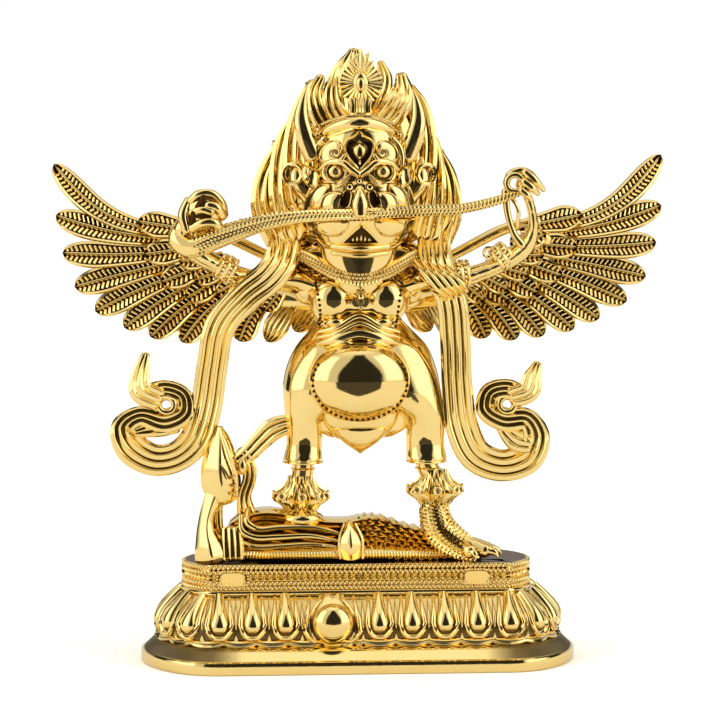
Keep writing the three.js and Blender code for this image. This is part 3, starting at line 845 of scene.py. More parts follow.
def frill():
    """The wavy skirt under the petals."""
    distance = np.arange(FRILL_POINTS) * PLAN_LENGTH / FRILL_POINTS
    core, out = plan(distance)
    phase = (distance - BOSS_X - BOSS_PETAL / 2) / PETAL_PITCH
    wave = np.abs(np.sin(np.pi * phase)) ** 0.7
    rings = []
    for offset, z, sway, sag, _ in FRILL:
        flat = core + out * (offset + sway * wave)[:, None]
        rings.append(np.column_stack([flat, z - sag * wave]))
    return loft(rings, row_marks([row[-1] for row in FRILL], FRILL_POINTS))


def end_share(rings, start, run):
    """How far points lie towards the plinth's two ends: 0 up to the start, 1 a run further out."""
    return np.clip((np.abs(rings[..., 0]) - start) / run, 0, 1)


def plate():
    """The foot plate, polished on its rim; a painted dark reflection darkens its sloping top towards both
    ends.
    """
    steps = [
        (PLATE_OUT - 0.5, 0.0),
        (PLATE_OUT - 0.12, 0.25),
        (PLATE_OUT, 0.6),
        (PLATE_OUT, PLATE_RIM - 0.5),
        (PLATE_OUT - 0.12, PLATE_RIM - 0.15),
        (PLATE_OUT - 0.45, PLATE_RIM),
        (PLATE_OUT - 0.8, PLATE_RIM + 0.1),
        (PLATE_OUT - 1.1, PLATE_RIM + 0.35),
        (PLATE_OUT - 3.6, PLATE_RIM + 2.7),
        (PLATE_OUT - 4.8, PLATE_RIM + 3.6),
        (PLATE_OUT - 7, PLATE_RIM + 3.9),
        (PLATE_OUT - 11, PLATE_RIM + 4),
    ]
    rim_rings = 7
    rings = np.array([level(out, z) * [PLATE_SHARE, 1, 1] for out, z in steps])
    # Painted dark reflection: the sloping top darkens towards both ends
    shade = 0.85 * end_share(rings, 39, 9) ** 0.7
    shade[:rim_rings] = 0
    return loft(rings, shade)


def lotus_body():
    """The bowl under the petals, with painted shade where they leave it free."""
    count = 360
    distance = np.arange(count) * PLAN_LENGTH / count
    ups = [-0.06, 0.08, 0.2, 0.3, 0.4, 0.5, 0.62, 0.75, 0.86, 0.95, 1.05]
    # Painted shade between the petals, darkest a little below halfway up
    marks = [0.3, 0.6, 0.85, 0.9, 0.9, 0.8, 0.6, 0.4, 0.25, 0.2, 0.2]
    rings = [lotus_surface(distance, up, 0.0) for up in ups]
    return loft(rings, row_marks(marks, count))


# The tier from its foot to its free top: out, height, painted shade, darkest in the groove between the bands
TIER = [
    (2.4, TIER_FOOT - 0.6, 0.2),
    (TIER_OUT + 0.9, TIER_FOOT + 0.6, 0),
    (TIER_OUT + 1.1, TIER_FOOT + 1.2, 0),
    (TIER_OUT + 1.0, TIER_FOOT + 1.9, 0),
    (TIER_OUT + 0.6, TIER_FOOT + 2.2, 0.4),
    (TIER_OUT, TIER_FOOT + 2.4, 0.25),
    (TIER_OUT, PLINTH_TOP - 5.2, 0.25),
    (TIER_OUT + 0.35, PLINTH_TOP - 5.1, 0.2),
    (TIER_OUT, PLINTH_TOP - 4.9, 0.9),
    (TIER_OUT - 0.2, PLINTH_TOP - 4.7, 1),
    (TIER_OUT - 0.2, PLINTH_TOP - 3.6, 1),
    (TIER_OUT, PLINTH_TOP - 3.4, 0.9),
    (TIER_OUT + 0.35, PLINTH_TOP - 3.2, 0.2),
    (TIER_OUT, PLINTH_TOP - 3.1, 0.2),
    (TIER_OUT, PLINTH_TOP - 0.3, 0.2),
    (TIER_OUT - 0.3, PLINTH_TOP, 0),
    (TIER_OUT - 0.6, PLINTH_TOP, 0),
    (TIER_OUT - 9, PLINTH_TOP, 0),
]


def tier():
    """The banded upper tier, with painted shade in its groove; a painted dark reflection darkens its free top
    towards both ends.
    """
    rings = np.array([level(out, z) - [TIER_LEFT, 0, 0] for out, z, _ in TIER])
    marks = row_marks([0.5 * mark for *_, mark in TIER], rings.shape[1])
    # Painted dark reflection on the free top towards both ends
    marks[-2:] = 0.97 * end_share(rings[-2:], 32, 5)
    return loft(rings, marks)


def tier_paths(out, z):
    """A path round the tier, with its own direction and the way it faces."""
    count = 420
    ring = level(out, z, count) - [TIER_LEFT, 0, 0]
    ring = np.vstack([ring, ring[:1]])
    _, outward = plan(np.arange(count + 1) * PLAN_LENGTH / count)
    face = np.column_stack([outward, np.zeros(len(outward))])
    along = unit(np.gradient(ring, axis=0))
    return ring, along, face, 1.0


def tier_ropes(casting):
    """Four rows of slanted granules, two above and two below a row of small diamonds in a groove."""
    for down, slant, out in ((0.8, 0.8, 0.1), (2.4, -0.8, 0.1), (6.0, 0.8, 0.1), (7.5, -0.8, 0.2)):
        ring, along, face, _ = tier_paths(TIER_OUT + out, PLINTH_TOP - down)
        lean = unit(along + np.array([0, 0, slant]))
        casting.take(laid(BEADS, [(ring, lean, face, 1.0)], GILT_FINE, 1.5, 1.1, 0.58, 0.8, 0.1))
    darts = [tier_paths(TIER_OUT - 0.1, PLINTH_TOP - 4.15)]
    casting.take(laid(SCALES, darts, GILT_FINE, 2.2, 1.35, 1.05, 0.9, 0.0))


def plaque(casting, x):
    """A rounded panel of fine upright flutes in a beaded frame."""
    z = PLINTH_TOP - 4.5
    y = -CORE_DEPTH - TIER_OUT
    wide, tall = PANEL_HALF

    def place(px, pz, h):
        return np.stack([px, np.full(np.shape(px), y) - h, pz], axis=-1)

    a = np.arange(28) * 2 * np.pi / 28
    round_x = np.sign(np.cos(a)) * np.abs(np.cos(a)) ** 0.45
    round_z = np.sign(np.sin(a)) * np.abs(np.sin(a)) ** 0.6
    shape = np.stack([x + wide * round_x, z + tall * round_z], axis=1)
    # A little painted shade where the frame steps down to the flutes
    steps = [(0, 0.5, 0), (0.04, 0.95, 0), (0.1, 1.0, 0), (0.14, 0.7, 0.1), (0.9, 0.75, 0)]
    casting.add(relief(shape, steps, place))
    run = np.array([[px, y - 0.75, z - 2.1] for px in np.linspace(x - 3.8, x + 3.8, 16)])
    reach = 4.2 * (1 - 0.12 * (np.abs(run[:, 0] - x) / 3.8) ** 6)
    casting.take(laid(BARS, [(run, (0, 0, 1), (0, -1, 0), reach)], GILT_FINE, 0.5, 1.0, 0.27, 0.2, 0.0))
    rim = place(*((shape - [x, z]) * 1.12 + [x, z]).T, 0.45)
    rim = np.vstack([rim, rim[:1]])
    casting.take(laid(BEADS, [bead_paths(rim, (0, -1, 0))], GILT_FINE, 1.0, 0.46, 0.46, 0.5))


def plinth():
    """The plinth from its foot plate up to the tier."""
    casting = Casting()
    casting.add(plate())
    casting.add(lotus_body())
    casting.add(frill())
    casting.add_all(petals())
    casting.add(ball(lotus_surface(BOSS_X, 0.51, 1.0), (BOSS_RADIUS, 4.6, BOSS_RADIUS), 44))
    casting.add(tier())
    tier_ropes(casting)
    for x in PANELS:
        plaque(casting, x)
    return casting.piece("lotus_base", GILT, "lotus_plinth", crease=45)


# Body. Rows are [x, y, z, half width, half depth] from one end of a form to the other
TRUNK = [
    [0, 0, 46, 12, 9],
    [0, -0.5, 56, 19, 12],
    [0, 0, 66, 17.5, 11.5],
    [0, 0, 74, 12.6, 8.6],
    [0, 0, 81, 14.8, 10],
    [0, 0, 89, 18, 10.5],
    [0, -2, 97, 11, 8.5],
    [0, -4, 108, 9, 8],
]
PANT_LEFT = [
    [-6.6, 0, 79.2, 5, 4],
    [-7.2, 0, 74.6, 8.8, 5.8],
    [-8.4, -1, 69.6, 12, 8.4],
    [-9.8, -2, 63, 13.8, 10.8],
    [-11.4, -3, 56.6, 13.5, 11],
    [-15.2, -3.8, 50, 9.4, 8.6],
    [-17.7, -4.2, 45, 6.5, 6.8],
    [-17.8, -4, 40, 6.1, 5.4],
    [-17.9, -4, 37, 6.0, 5.2],
    [-18.1, -4, 34.4, 6.3, 5.8],
    [-18.4, -4, 31.6, 6.9, 6.9],
]
PANT_RIGHT = [
    [7, 0, 79.6, 6, 4],
    [7.6, 0, 74.8, 10, 5.8],
    [8.4, -1, 69.8, 14, 8.4],
    [9.6, -2, 63, 15.8, 10.8],
    [11.6, -3, 56.6, 15.2, 11],
    [17.2, -3.8, 50, 10.4, 9],
    [21.4, -4.2, 45, 6.9, 6.8],
    [21.7, -4, 40, 6.5, 5.4],
    [21.8, -4, 37, 6.4, 5.2],
    [22.0, -4, 34.4, 6.6, 5.8],
    [22.3, -4, 31.6, 7.1, 6.9],
]
HEM = [[-14.4, -11, 90], [-13.4, -11, 84.6], [-12.9, -10.6, 79.6], [-12.7, -9.8, 74.8], [-11.2, -10, 70]]
BELLY = [-0.4, -11.2, 58.2]
BELLY_RADII = [16.6, 9.8, 13.2]
LEFT_ARM = [
    [-13, 0, 88.6, 6, 6],
    [-21, -0.6, 90.6, 5, 5],
    [-28, -2, 91, 4, 4],
    [-37, -3, 91.6, 3.4, 3.4],
    [-47, -6, 96.4, 3.2, 3.2],
    [-54.4, -8, 101.4, 3.7, 3.5],
    [-57.6, -10, 106.4, 3.3, 3.2],
    [-53.6, -11.6, 112, 3.4, 3.2],
]
RIGHT_ARM = [
    [13, 0, 88.4, 6, 6],
    [21, -0.6, 90.2, 4.8, 5],
    [29, -2, 90.4, 3.7, 3.8],
    [45, -5, 95.4, 3, 3],
    [53.6, -8, 101.4, 3.3, 3.1],
    [56.2, -9.8, 107.4, 2.1, 2.3],
    [55.4, -11.2, 114.4, 1.7, 2],
    [53.2, -11.8, 120, 1.7, 2],
]


def blended(shells, voxel, rounds):
    """One smooth skin over overlapping shells."""
    rough = Casting(SEAT)
    rough.add_all(shells)
    mesh = bpy.data.meshes.new("rough")
    faces = np.vstack(rough.quads).tolist() + np.vstack(rough.tris).tolist()
    mesh.from_pydata((np.vstack(rough.points) * MM).tolist(), [], faces)
    obj = placed("rough", mesh)
    skin = obj.modifiers.new("skin", "REMESH")
    skin.mode = "VOXEL"
    skin.voxel_size = voxel * MM
    ease = obj.modifiers.new("ease", "SMOOTH")
    ease.factor = 0.5
    ease.iterations = rounds
    return baked(obj)


def upright(rows):
    """A leg of cloth through level ovals, so that a sideways step doesn't tilt them."""
    sides = 32
    angle = np.arange(sides) * 2 * np.pi / sides
    rings = [
        np.column_stack([x + width * np.cos(angle), y + depth * np.sin(angle), np.full(sides, z)])
        for x, y, z, width, depth in refine(rows, 5)
    ]
    return loft(rings)


def torso():
    """The blended core: trunk, breast, shoulders, arms, hips and trousers."""
    return [
        sweep(TRUNK, round_bar(36), 6),
        ball([-8.6, -5.6, 84.6], [8, 7.8, 8], 30),
        ball([8.4, -5.6, 84.6], [8, 7.8, 8], 30),
        ball([-0.2, -3.6, 85.4], [15.4, 7.8, 9], 36),
        ball([-0.2, -8, 60], [15, 9, 11], 36),
        ball([-16, -0.5, 89], [6.4, 6.4, 6.4], 20),
        ball([16, -0.5, 89], [6.4, 6.4, 6.4], 20),
        ball([-0.3, 2.4, 97.2], [24.6, 5.6, 9.2], 36),
        sweep(LEFT_ARM, keeled(), 5),
        sweep(RIGHT_ARM, keeled(), 5),
        upright(PANT_LEFT),
        upright(PANT_RIGHT),
    ]


def waist_folds():
    """Rolls of flesh between breast and belly."""
    shells = []
    for middle, side, wide, deep, y in (
        (79.4, 75.2, 1.4, 2.2, -10.6),
        (77, 73.4, 1.2, 2.2, -11),
        (73.6, 71.4, 2.2, 2.4, -11.2),
    ):
        rows = [
            [-12.8, -7, side - 0.8, 0.9, 2],
            [-7.6, y + 0.7, side + 0.5, wide, deep],
            [-0.3, y, middle, wide, deep],
            [7, y + 0.7, side + 0.5, wide, deep],
            [12.2, -7, side - 0.8, 0.9, 2],
        ]
        shells.append(sweep(rows, round_bar(18), 7))
    for side in (-1, 1):
        shells.append(ball([side * 7.6 - 0.3, -10.6, 77.4], [3.2, 2.2, 1.7], 18))
        rows = [[9.4, -11, 69.8, 0.5, 1.0], [5.4, -12.6, 71, 1.0, 1.4], [1.4, -13, 70, 0.6, 1]]
        shells.append(sweep([[side * x - 0.3, *rest] for x, *rest in rows], round_bar(12), 6))
    return shells


def loincloth():
    """The point of cloth that hangs under the belly between the trouser legs, in soft tiers."""
    tiers = [
        [
            [0.4, -3, 50, 19, 6], [0.4, -4.4, 45.4, 17, 5.6], [0.4, -5.6, 42, 14.2, 4.2],
            [0.4, -6, 40.2, 11, 2.6],
        ],
        [[0, -8, 48, 13, 5.8], [0, -7.6, 44, 11.6, 4.6], [0, -6.8, 40, 8.4, 2.8]],
        [[0.2, -9, 43, 9.6, 3.6], [0.2, -8.4, 38.8, 6.2, 2.8], [0.2, -7, 34.8, 0.6, 0.7]],
    ]
    return [sweep(rows, round_bar(sides), 6, ends=0.4) for rows, sides in zip(tiers, (30, 24, 20))]


def belly_edge(share, low=152, high=388):
    """Points round the front of the belly at a share of its radius; angles run round below it."""
    count = 70
    a = np.radians(np.linspace(low, high, count))
    x = BELLY[0] + BELLY_RADII[0] * share * np.cos(a)
    z = BELLY[2] + BELLY_RADII[2] * share * np.sin(a)
    y = BELLY[1] - BELLY_RADII[1] * math.sqrt(1 - share**2)
    return np.column_stack([x, np.full(count, y), z])


def on_skin(skin, points):
    """The points moved straight back onto the skin."""
    out = []
    for x, y, z in points:
        hit = skin.ray_cast(Vector((x, -60, z + SEAT)) * MM, Vector((0, 1, 0)))[0]
        out.append([x, hit[1] / MM if hit else y, z])
    return np.array(out)


def hem(casting, skin):
    """Punched dots down both sides of the breastplate and round the belly, drawn as beads painted fully dark
    as the shade in them, over a row of granules.
    """
    run = along_points(HEM, 8)
    sides = [on_skin(skin, run), on_skin(skin, run * [-1, 1, 1] - [0.8, 0, 0])]
    bottom = belly_edge(1.0, 228, 312) + casting.lift
    casting.take(laid(BEADS, [bead_paths(bottom, (0, -1, 0), -0.6)], GILT_FINE, 0.9, 0.6, 0.6, 0.6))
    # The dots are painted fully dark: painted shade
    for line in (*sides, belly_edge(0.92)):
        dots = bead_paths(line + casting.lift, (0, -1, 0), 0.05)
        casting.take(laid(BEADS, [dots], GILT_FINE, 1.75, HEM_BEAD, HEM_BEAD, HEM_BEAD), 1.0)


COLLAR = [
    [-20, -4.4, 99.8], [-13.4, -8.8, 96.2], [-7.4, -12, 93], [-0.4, -13.2, 91.6], [6.8, -12, 93],
    [13.4, -8.8, 96.2], [19.6, -4.4, 99.8],
]


def necklace(casting):
    """The bowl of the neck, a chased collar with a fringe of small drops, and a pendant."""
    bowl = [[-0.4, -7.4, 102, 12.8, 7.2], [-0.4, -7.4, 96.6, 11.4, 7.2], [-0.4, -7.4, 91, 8.6, 7.2]]
    casting.add(sweep(bowl, round_bar(40), 6))
    run = along_points(COLLAR, 8)
    casting.add(sweep([[*p, 1.6, 2.2] for p in run + [0, 0.6, 0]], round_bar(10), 1, hint=(0, 0.25, 1)))
    out = unit((run - [0, 3, 0]) * [1, 1, 0])
    rows = []
    for k in (-1, 0, 1):
        row = run + out * (1.5 - 0.3 * abs(k)) - [0, 0, 1.15 * k] + casting.lift
        rows.append(bead_paths(row, out))
    casting.take(laid(BEADS, rows, GILT_FINE, 1.2, 0.56, 0.56, 0.56))
    fringe = along_points(COLLAR[2:5], 12) + [0, -1.4, -2.2]
    for p in fringe[1:-1:2]:
        casting.add(ball(p, [0.46, 0.6, 0.85], 8))
    # The small balls round the pendant carry some painted shade
    for x, y, z, size, mark in (
        (0, -14, 88.4, 0.7, 0.3),
        (-1.1, -14, 87.2, 0.6, 0.3),
        (1.1, -14, 87.2, 0.6, 0.3),
        (0, -14.4, 86, 1.3, 0),
        (0, -14.2, 82.2, 0.75, 0.3),
    ):
        casting.add(ball([x - 0.1, y, z], [size, size, size * 1.25], 12, mark))
    casting.add(hoop([-0.1, -15.3, 85.8], 1.0, 0.32))
    # A ball under the pendant's ring, darkened as painted shade
    casting.add(ball([-0.1, -14.6, 84], [1.5, 0.9, 1.1], 10, 0.8))


def armlet(place, lean, radius):
    """A cuff of three raised bands with beads between them."""
    place = np.array(place, float)
    turn = math.radians(lean)
    axis = np.array([math.sin(turn), 0, math.cos(turn)])
    side, front = unit(np.array([axis[2], 0, -axis[0]])), np.array([0, -1.0, 0])
    shells = []
    for shift, thick in ((-2.2, 0.75), (0, 0.95), (2.2, 0.75)):
        shells.append(hoop(place + axis * shift, radius, thick, axis, 8, 24))
    for shift in (-1.1, 1.1):
        for k in range(CUFF_BEADS):
            a = 2 * math.pi * k / CUFF_BEADS
            out = side * math.cos(a) + front * math.sin(a)
            shells.append(ball(place + axis * shift + out * (radius + 0.25), [0.62, 0.62, 0.62], 8))
    core = [[*(place + axis * end), radius, radius] for end in (-2.4, 2.4)]
    shells.append(sweep(core, round_bar(20), 1, ends=0.2))
    return shells


# The cuff at an ankle from its top down: height, radius in its hollows, radius at its tips, painted shade in
# its hollows
ANKLET = [
    (7.4, 3.7, 4.1, 0),
    (5.4, 3.8, 4.6, 0.05),
    (3.2, 4.2, 6.0, 0.1),
    (1.2, 4.6, 8.2, 0.1),
    (0.1, 4.9, 9.1, 0),
    (-0.9, 4.8, 8.8, 0.05),
    (-2.4, 4.4, 6.4, 0.3),
    (-4.4, 3.9, 4.8, 0.2),
    (-6, 3.6, 4.2, 0),
]


def anklet(x, y, z):
    """A flared cuff of round-tipped feathers, each ending in a small ring, with painted shade in the hollows
    between them and in each ring.
    """
    lobes = ANKLET_LOBES
    count = lobes * 20
    a = np.arange(count) * 2 * np.pi / count - np.pi / 2
    lobe = np.abs(np.cos(a * lobes / 2 + np.pi * lobes / 4)) ** 1.3
    rib = 0.16 * np.cos(a * lobes * 5)
    rings, marks = [], []
    for up, hollow, tip, dark in ANKLET:
        r = hollow + (tip - hollow) * lobe + rib
        rings.append(np.column_stack([x + r * np.cos(a), y + r * np.sin(a), np.full(count, z + up)]))
        marks.append(dark * (1 - lobe))
    shells = [loft(rings, np.array(marks))]
    for k in range(lobes):
        b = -np.pi / 2 + 2 * np.pi * k / lobes
        out = np.array([math.cos(b), math.sin(b), 0.12])
        tip = np.array([x, y, z + 0.1])
        shells.append(hoop(tip + out * 9.0, 1.15, 0.45, out, 8, 16))
        # A dark ball in each ring, as painted shade in its hole
        shells.append(ball(tip + out * 8.9, [0.5, 0.5, 0.5], 8, 0.9))
        rows = []
        for rise, reach, wide, deep in ((6.4, 3.9, 0.3, 0.3), (3, 5.8, 0.5, 0.4), (0.9, 8.4, 0.5, 0.4)):
            rows.append([*(np.array([x, y, z + rise]) + out * reach), wide, deep])
        shells.append(sweep(rows, round_bar(6), 3, hint=out))
    return shells


def leg(x, ankle_x, ankle_z, hem_x):
    """The rolled trouser hem, the shin under it with its ring, and the anklet."""
    y = -4
    shin = [[x, y, 33.5, 3.7, 3.7], [x, y, 30, 3.6, 3.6], [ankle_x, y, ankle_z + 4, 3.6, 3.6]]
    return [
        hoop([hem_x, y, 31.6], 6.35, 0.42, (0, 0, 1), 8, 32),
        sweep(shin, round_bar(18), 4),
        hoop([x, y, 29.4], 3.7, 0.4, (0, 0, 1), 6, 20),
        *anklet(ankle_x, y, ankle_z),
    ]


INSTEP = [
    [24.2, -5, 16.6, 4.3, 3.8], [26.2, -7, 9.6, 5.2, 5.6], [32.4, -8.5, 4.6, 4.3, 6.1],
    [38, -9.5, 2.4, 2.9, 5.2],
]
RIGHT_TOES = [[46, -10.4, 1.4], [44.4, -16, 1.4], [37, -18.4, 1.2], [40, -2.6, 1.4]]


def toe(start, knuckle, tip):
    """One toe with a swollen joint and a hooked claw."""
    start, knuckle, tip = (np.array(p, float) for p in (start, knuckle, tip))
    nail = knuckle + (tip - knuckle) * 0.35 + [0, 0, 0.7]
    middle = (start + knuckle) / 2 + [0, 0, 0.8]
    bend = nail * 0.4 + tip * 0.6 + [0, 0, 0.7]
    return [
        sweep([[*start, 2.6, 2.6], [*middle, 2.2, 2.2], [*knuckle, 2.4, 2.2]], round_bar(14), 5),
        sweep([[*nail, 1.5, 1.5], [*bend, 1.15, 1.1], [*tip, 0.25, 0.3]], round_bar(10), 5),
        hoop(nail, 1.55, 0.35, tip - knuckle, 6, 14),
    ]


def feet(casting):
    """The left foot, sunk in the robe, and the right one with its scaled instep and claws."""
    casting.add(ball([-18.8, -6, 13.4], [7.2, 6.8, 3.2], 24))
    casting.add(sweep(INSTEP, round_bar(24), 6))
    for x, y, z in RIGHT_TOES:
        casting.add_all(toe([31.6, -8.6, 5.4], [x * 0.7 + 9.3, y * 0.7 - 2.6, 3.2], [x, y, z]))
    rows = scale_paths(refine(INSTEP, 6), range(-88, 90, 16))
    casting.take(laid(SCALES, rows, GILT_FINE, 1.35, 1.0, 0.95, 0.7, 0.1))


def scale_paths(rows, angles):
    """Paths along a bar at angles round it; 0 faces the front and 90 faces across it."""
    rows = np.asarray(rows, float)
    centre = rows[:, :3]
    along = unit(np.gradient(centre, axis=0))
    back = unit(np.array([0, 1, 0]) - along * along[:, 1:2])
    across = np.cross(back, along)
    paths = []
    for k, angle in enumerate(angles):
        a = math.radians(angle)
        face = across * math.sin(a) - back * math.cos(a)
        skin = centre + across * (rows[:, 3:4] * math.sin(a)) - back * (rows[:, 4:5] * math.cos(a))
        skin = skin + along * (0.8 * (k % 2)) + [0, 0, SEAT]
        paths.append((skin, along, face, 1.0))
    return paths


SERPENT_ROWS = [
    [-58, -8.6, 108.4, 1.2, 1.2],
    [-58.6, -9.6, 104.4, 1.9, 1.7],
    [-54.6, -11.6, 101.8, 2.0, 1.8],
    [-47, -13.6, 104.2, 1.9, 1.75],
    [-38.8, -15, 107, 1.65, 1.55],
    [-30.4, -17, 109.4, 1.3, 1.3],
    [-19.4, -19.4, 111.2, 1.08, 1.1],
    [-1, -22.4, 112, 1, 1],
    [18.6, -18.6, 113.2, 0.96, 0.96],
    [32, -16, 113.8, 0.84, 0.84],
    [45, -13.6, 116.8, 0.72, 0.72],
    [50.6, -12.4, 118.8, 0.54, 0.54],
]


def serpent(casting):
    """The serpent across the beak, scaled on its front, with a ridge of longer scales near its tail."""
    rows = np.array(SERPENT_ROWS) * [1, 1, 1, SERPENT, SERPENT]
    fine = refine(rows, 6)
    casting.add(sweep(rows, round_bar(18), 6))
    scales = scale_paths(fine[14:], range(-130, 60, 22))
    casting.take(laid(SCALES, scales, GILT_FINE, 1.3, 0.8, 0.7, 0.4, 0.12))
    ridge = [[x, y + 0.2 * r, z + 0.9 * r, 0.5, 0.5] for x, y, z, r, _ in fine[20:34]]
    casting.take(laid(SCALES, scale_paths(ridge, (-60, -20)), GILT_FINE, 1.5, 1.2, 0.9, 0.7, 0.3))


def left_fist():
    """A closed fist round the serpent's tail, its knuckles to the front, with bars of painted shade in the
    gaps between its fingers.
    """
    shells = [
        ball([-50.2, -11.4, 112.6], [6.6, 5.2, 6.8], 28),
        tube([[-55.4, -12.8, 116.4], [-57, -14, 112, 1.7], [-56, -14.4, 107.2]], 1.45, 14, 6),
        tube(
            [
                [-54.4, -14, 116.6], [-52, -15, 118.6], [-47.6, -15, 118.6], [-44.6, -13.8, 115.6],
                [-43.8, -12, 112],
            ],
            1.35, 14, 6,
        ),
        tube([[-48.8, -16.2, 115], [-46.4, -16, 114.4], [-44.4, -14.4, 111.6]], 1.5, 14, 6),
        tube([[-54.2, -15, 112.6], [-51, -16.4, 113.6], [-48.2, -16.6, 112.8]], 1.2, 14, 6),
        tube(
            [[-54, -15, 107.8], [-50.6, -16.6, 109.4], [-47, -16.4, 109.4], [-44.6, -14.4, 106.8]], 1.5, 14, 6
        ),
    ]
    # Dark bars between the fingers, painted as the shade in their gaps
    for x, z, turn, size in ((-51.4, 115.8, 0.6, 1.0), (-50.4, 111.6, 1.5, 0.9), (-54, 110.8, 0.15, 0.9)):
        lean = np.array([math.sin(turn), 0, math.cos(turn)]) * 1.7
        shells.append(tube([np.array([x, -15.7, z]) - lean, np.array([x, -16.1, z]) + lean], size, 8, 2, 1.0))
    return shells


def right_hand():
    """Thumb and first finger closed to a ring, the other fingers bent out to the right."""
    shells = [
        ball([53.2, -10.4, 121.6], [2.8, 2.6, 3.4], 20),
        tube(
            [[47, -11, 119.4], [47.8, -11, 112.4, 1.15], [50, -10.4, 105.8, 1.2], [52.6, -9.6, 102.4, 1.6]],
            1.3, 12, 6,
        ),
        tube([[48.4, -11.4, 118.8, 0.8], [51.2, -11, 113.6, 0.7], [51, -10.6, 108.4, 0.6]], 0.8, 8, 6),
        hoop([49.9, -12.4, 122.2], 2.7, 1.05, (-0.1, -1, 0), 10, 28),
        tube(
            [
                [47.4, -10.6, 122.4], [48.6, -11, 125.2], [52, -11.4, 126.4], [55.4, -11.4, 125],
                [57, -11, 122.4],
            ],
            1.2, 12, 6,
        ),
        tube([[53.4, -12.4, 125.6], [56, -13, 123.4], [59.2, -12.4, 120.2, 0.8]], 1.5, 12, 6),
        tube([[52.8, -13.6, 122.6], [55.2, -14, 120.8], [57.4, -13, 118.8, 0.8]], 1.4, 12, 6),
        tube([[52, -14, 119.8], [53.8, -14, 118.4], [55.2, -13, 116.8, 0.8]], 1.2, 12, 6),
        hoop([42.2, -7, 99.8], 1.6, 0.6, (0, -1, 0), 8, 20),
        *armlet([46.6, -6, 98.8], 48, 3.5),
    ]
    return shells


# The full sleeves over both upper arms
SLEEVES = [
    [
        [-14, -2, 88.6, 6, 6.2], [-19.4, -2, 90.4, 5.6, 5.6], [-25, -2.6, 91, 4.6, 4.9],
        [-31, -3, 91.2, 3.9, 4.4],
    ],
    [[14, -2, 88.4, 6, 6.2], [19.4, -2, 90, 5.4, 5.6], [25, -2.6, 90.4, 4.4, 4.8], [30, -2.8, 90.6, 4, 4.4]],
]


def body():
    """Trunk, arms and legs with their ornaments, and the serpent in both hands."""
    casting = Casting(SEAT)
    core = blended(torso(), SKIN_GRAIN, SKIN_EASE)
    skin = BVHTree.FromPolygons([v.co for v in core.vertices], [tuple(p.vertices) for p in core.polygons])
    casting.take(core)
    casting.add(ball(BELLY, BELLY_RADII, 72))
    casting.add_all(waist_folds())
    casting.add_all(loincloth())
    hem(casting, skin)
    necklace(casting)
    casting.add_all(leg(-18.3, -19.0, 19.8, -18.3))
    casting.add_all(leg(22.4, 25, 21.6, 22.1))
    feet(casting)
    for rows in SLEEVES:
        casting.add(sweep(rows, keeled(), 6))
    casting.add_all(armlet([-43, -4.8, 94.6], 115, 3.8))
    casting.add_all(armlet([33.4, -3, 92.6], 84, 4.1))
    casting.add_all(left_fist())
    casting.add_all(right_hand())
    serpent(casting)
    return casting.piece("garuda_body", GILT, "garuda_figure")


# Head

HEAD = [
    [0, -7, 107, 15, 12],
    [0, -7, 113, 17.6, 13.6],
    [0, -6.5, 119, 17.6, 14],
    [0, -6, 126, 15.6, 13.6],
    [0, -6, 133, 14, 13],
    [0, -5.6, 138.6, 12.4, 12],
    [0, -5.2, 141.2, 9.6, 9],
]
JAW = [
    [0, -7.5, 100.2, 9, 7],
    [0, -7.6, 101.4, 12, 10.4],
    [0, -7.8, 105.4, 15.6, 13],
    [0, -8, 110.5, 18.2, 15.6],
]
FACE_X = -0.9  # the face's middle line


def front_of(rows, x, z, height, spare):
    """Points on the front of a form of level ovals, raised by height; spare keeps its sides full."""
    rows = np.array(rows)
    middle, wide, deep = (np.interp(z, rows[:, 2], rows[:, k]) for k in (1, 3, 4))
    y = middle - deep * np.sqrt(np.clip(1 - (x / (wide + spare)) ** 2, 0.04, 1))
    return np.stack([x, y - height, z], axis=-1)


def face(x, z, height):
    """Points on the front of the head."""
    return front_of(HEAD, x, z, height, 1.5)


def jaw_front(x, z, height):
    """Points on the front of the jaw."""
    return front_of(JAW, x, z, height, 1)


def rounded(points, per=4):
    """A closed outline through corner points."""
    points = np.asarray(points, float)
    out = []
    n = len(points)
    for i in range(n):
        a, b, c, d = points[i - 1], points[i], points[(i + 1) % n], points[(i + 2) % n]
        for t in np.arange(per) / per:
            second, third = 2 * a - 5 * b + 4 * c - d, 3 * b - a - 3 * c + d
            out.append(0.5 * (2 * b + (c - a) * t + second * t**2 + third * t**3))
    return np.array(out)


def on_face(points, side=1, centre=FACE_X):
    """An outline given right of the face's middle, placed on that side."""
    points = np.asarray(points, float)
    return np.column_stack([centre + side * points[:, 0], points[:, 1]])


def symmetric(points):
    """A closed outline from its right half, top to bottom."""
    points = np.asarray(points, float)
    return np.vstack([points, (points * [-1, 1])[::-1][1:-1]])


def face_ridge(points, height, width, side=1):
    """A raised bar over the face along [x, z] points, with its half widths."""
    rows = [[*face(FACE_X + side * x, z, height), w, w] for (x, z), w in zip(points, width)]
    return sweep(rows, round_bar(10), 6)


def scroll(x, z, radius, turns, thick, side, start):
    """A spiral curl on the face."""
    t = np.linspace(0, 1, 26)
    a = math.radians(start) + t * turns * 2 * np.pi
    r = radius * (1 - 0.82 * t)
    spots = face(FACE_X + side * (x + r * np.cos(a)), z + r * np.sin(a), 1.2)
    w = thick * (1 - 0.45 * t)
    return sweep(np.column_stack([spots, w, w]), round_bar(10), 1)


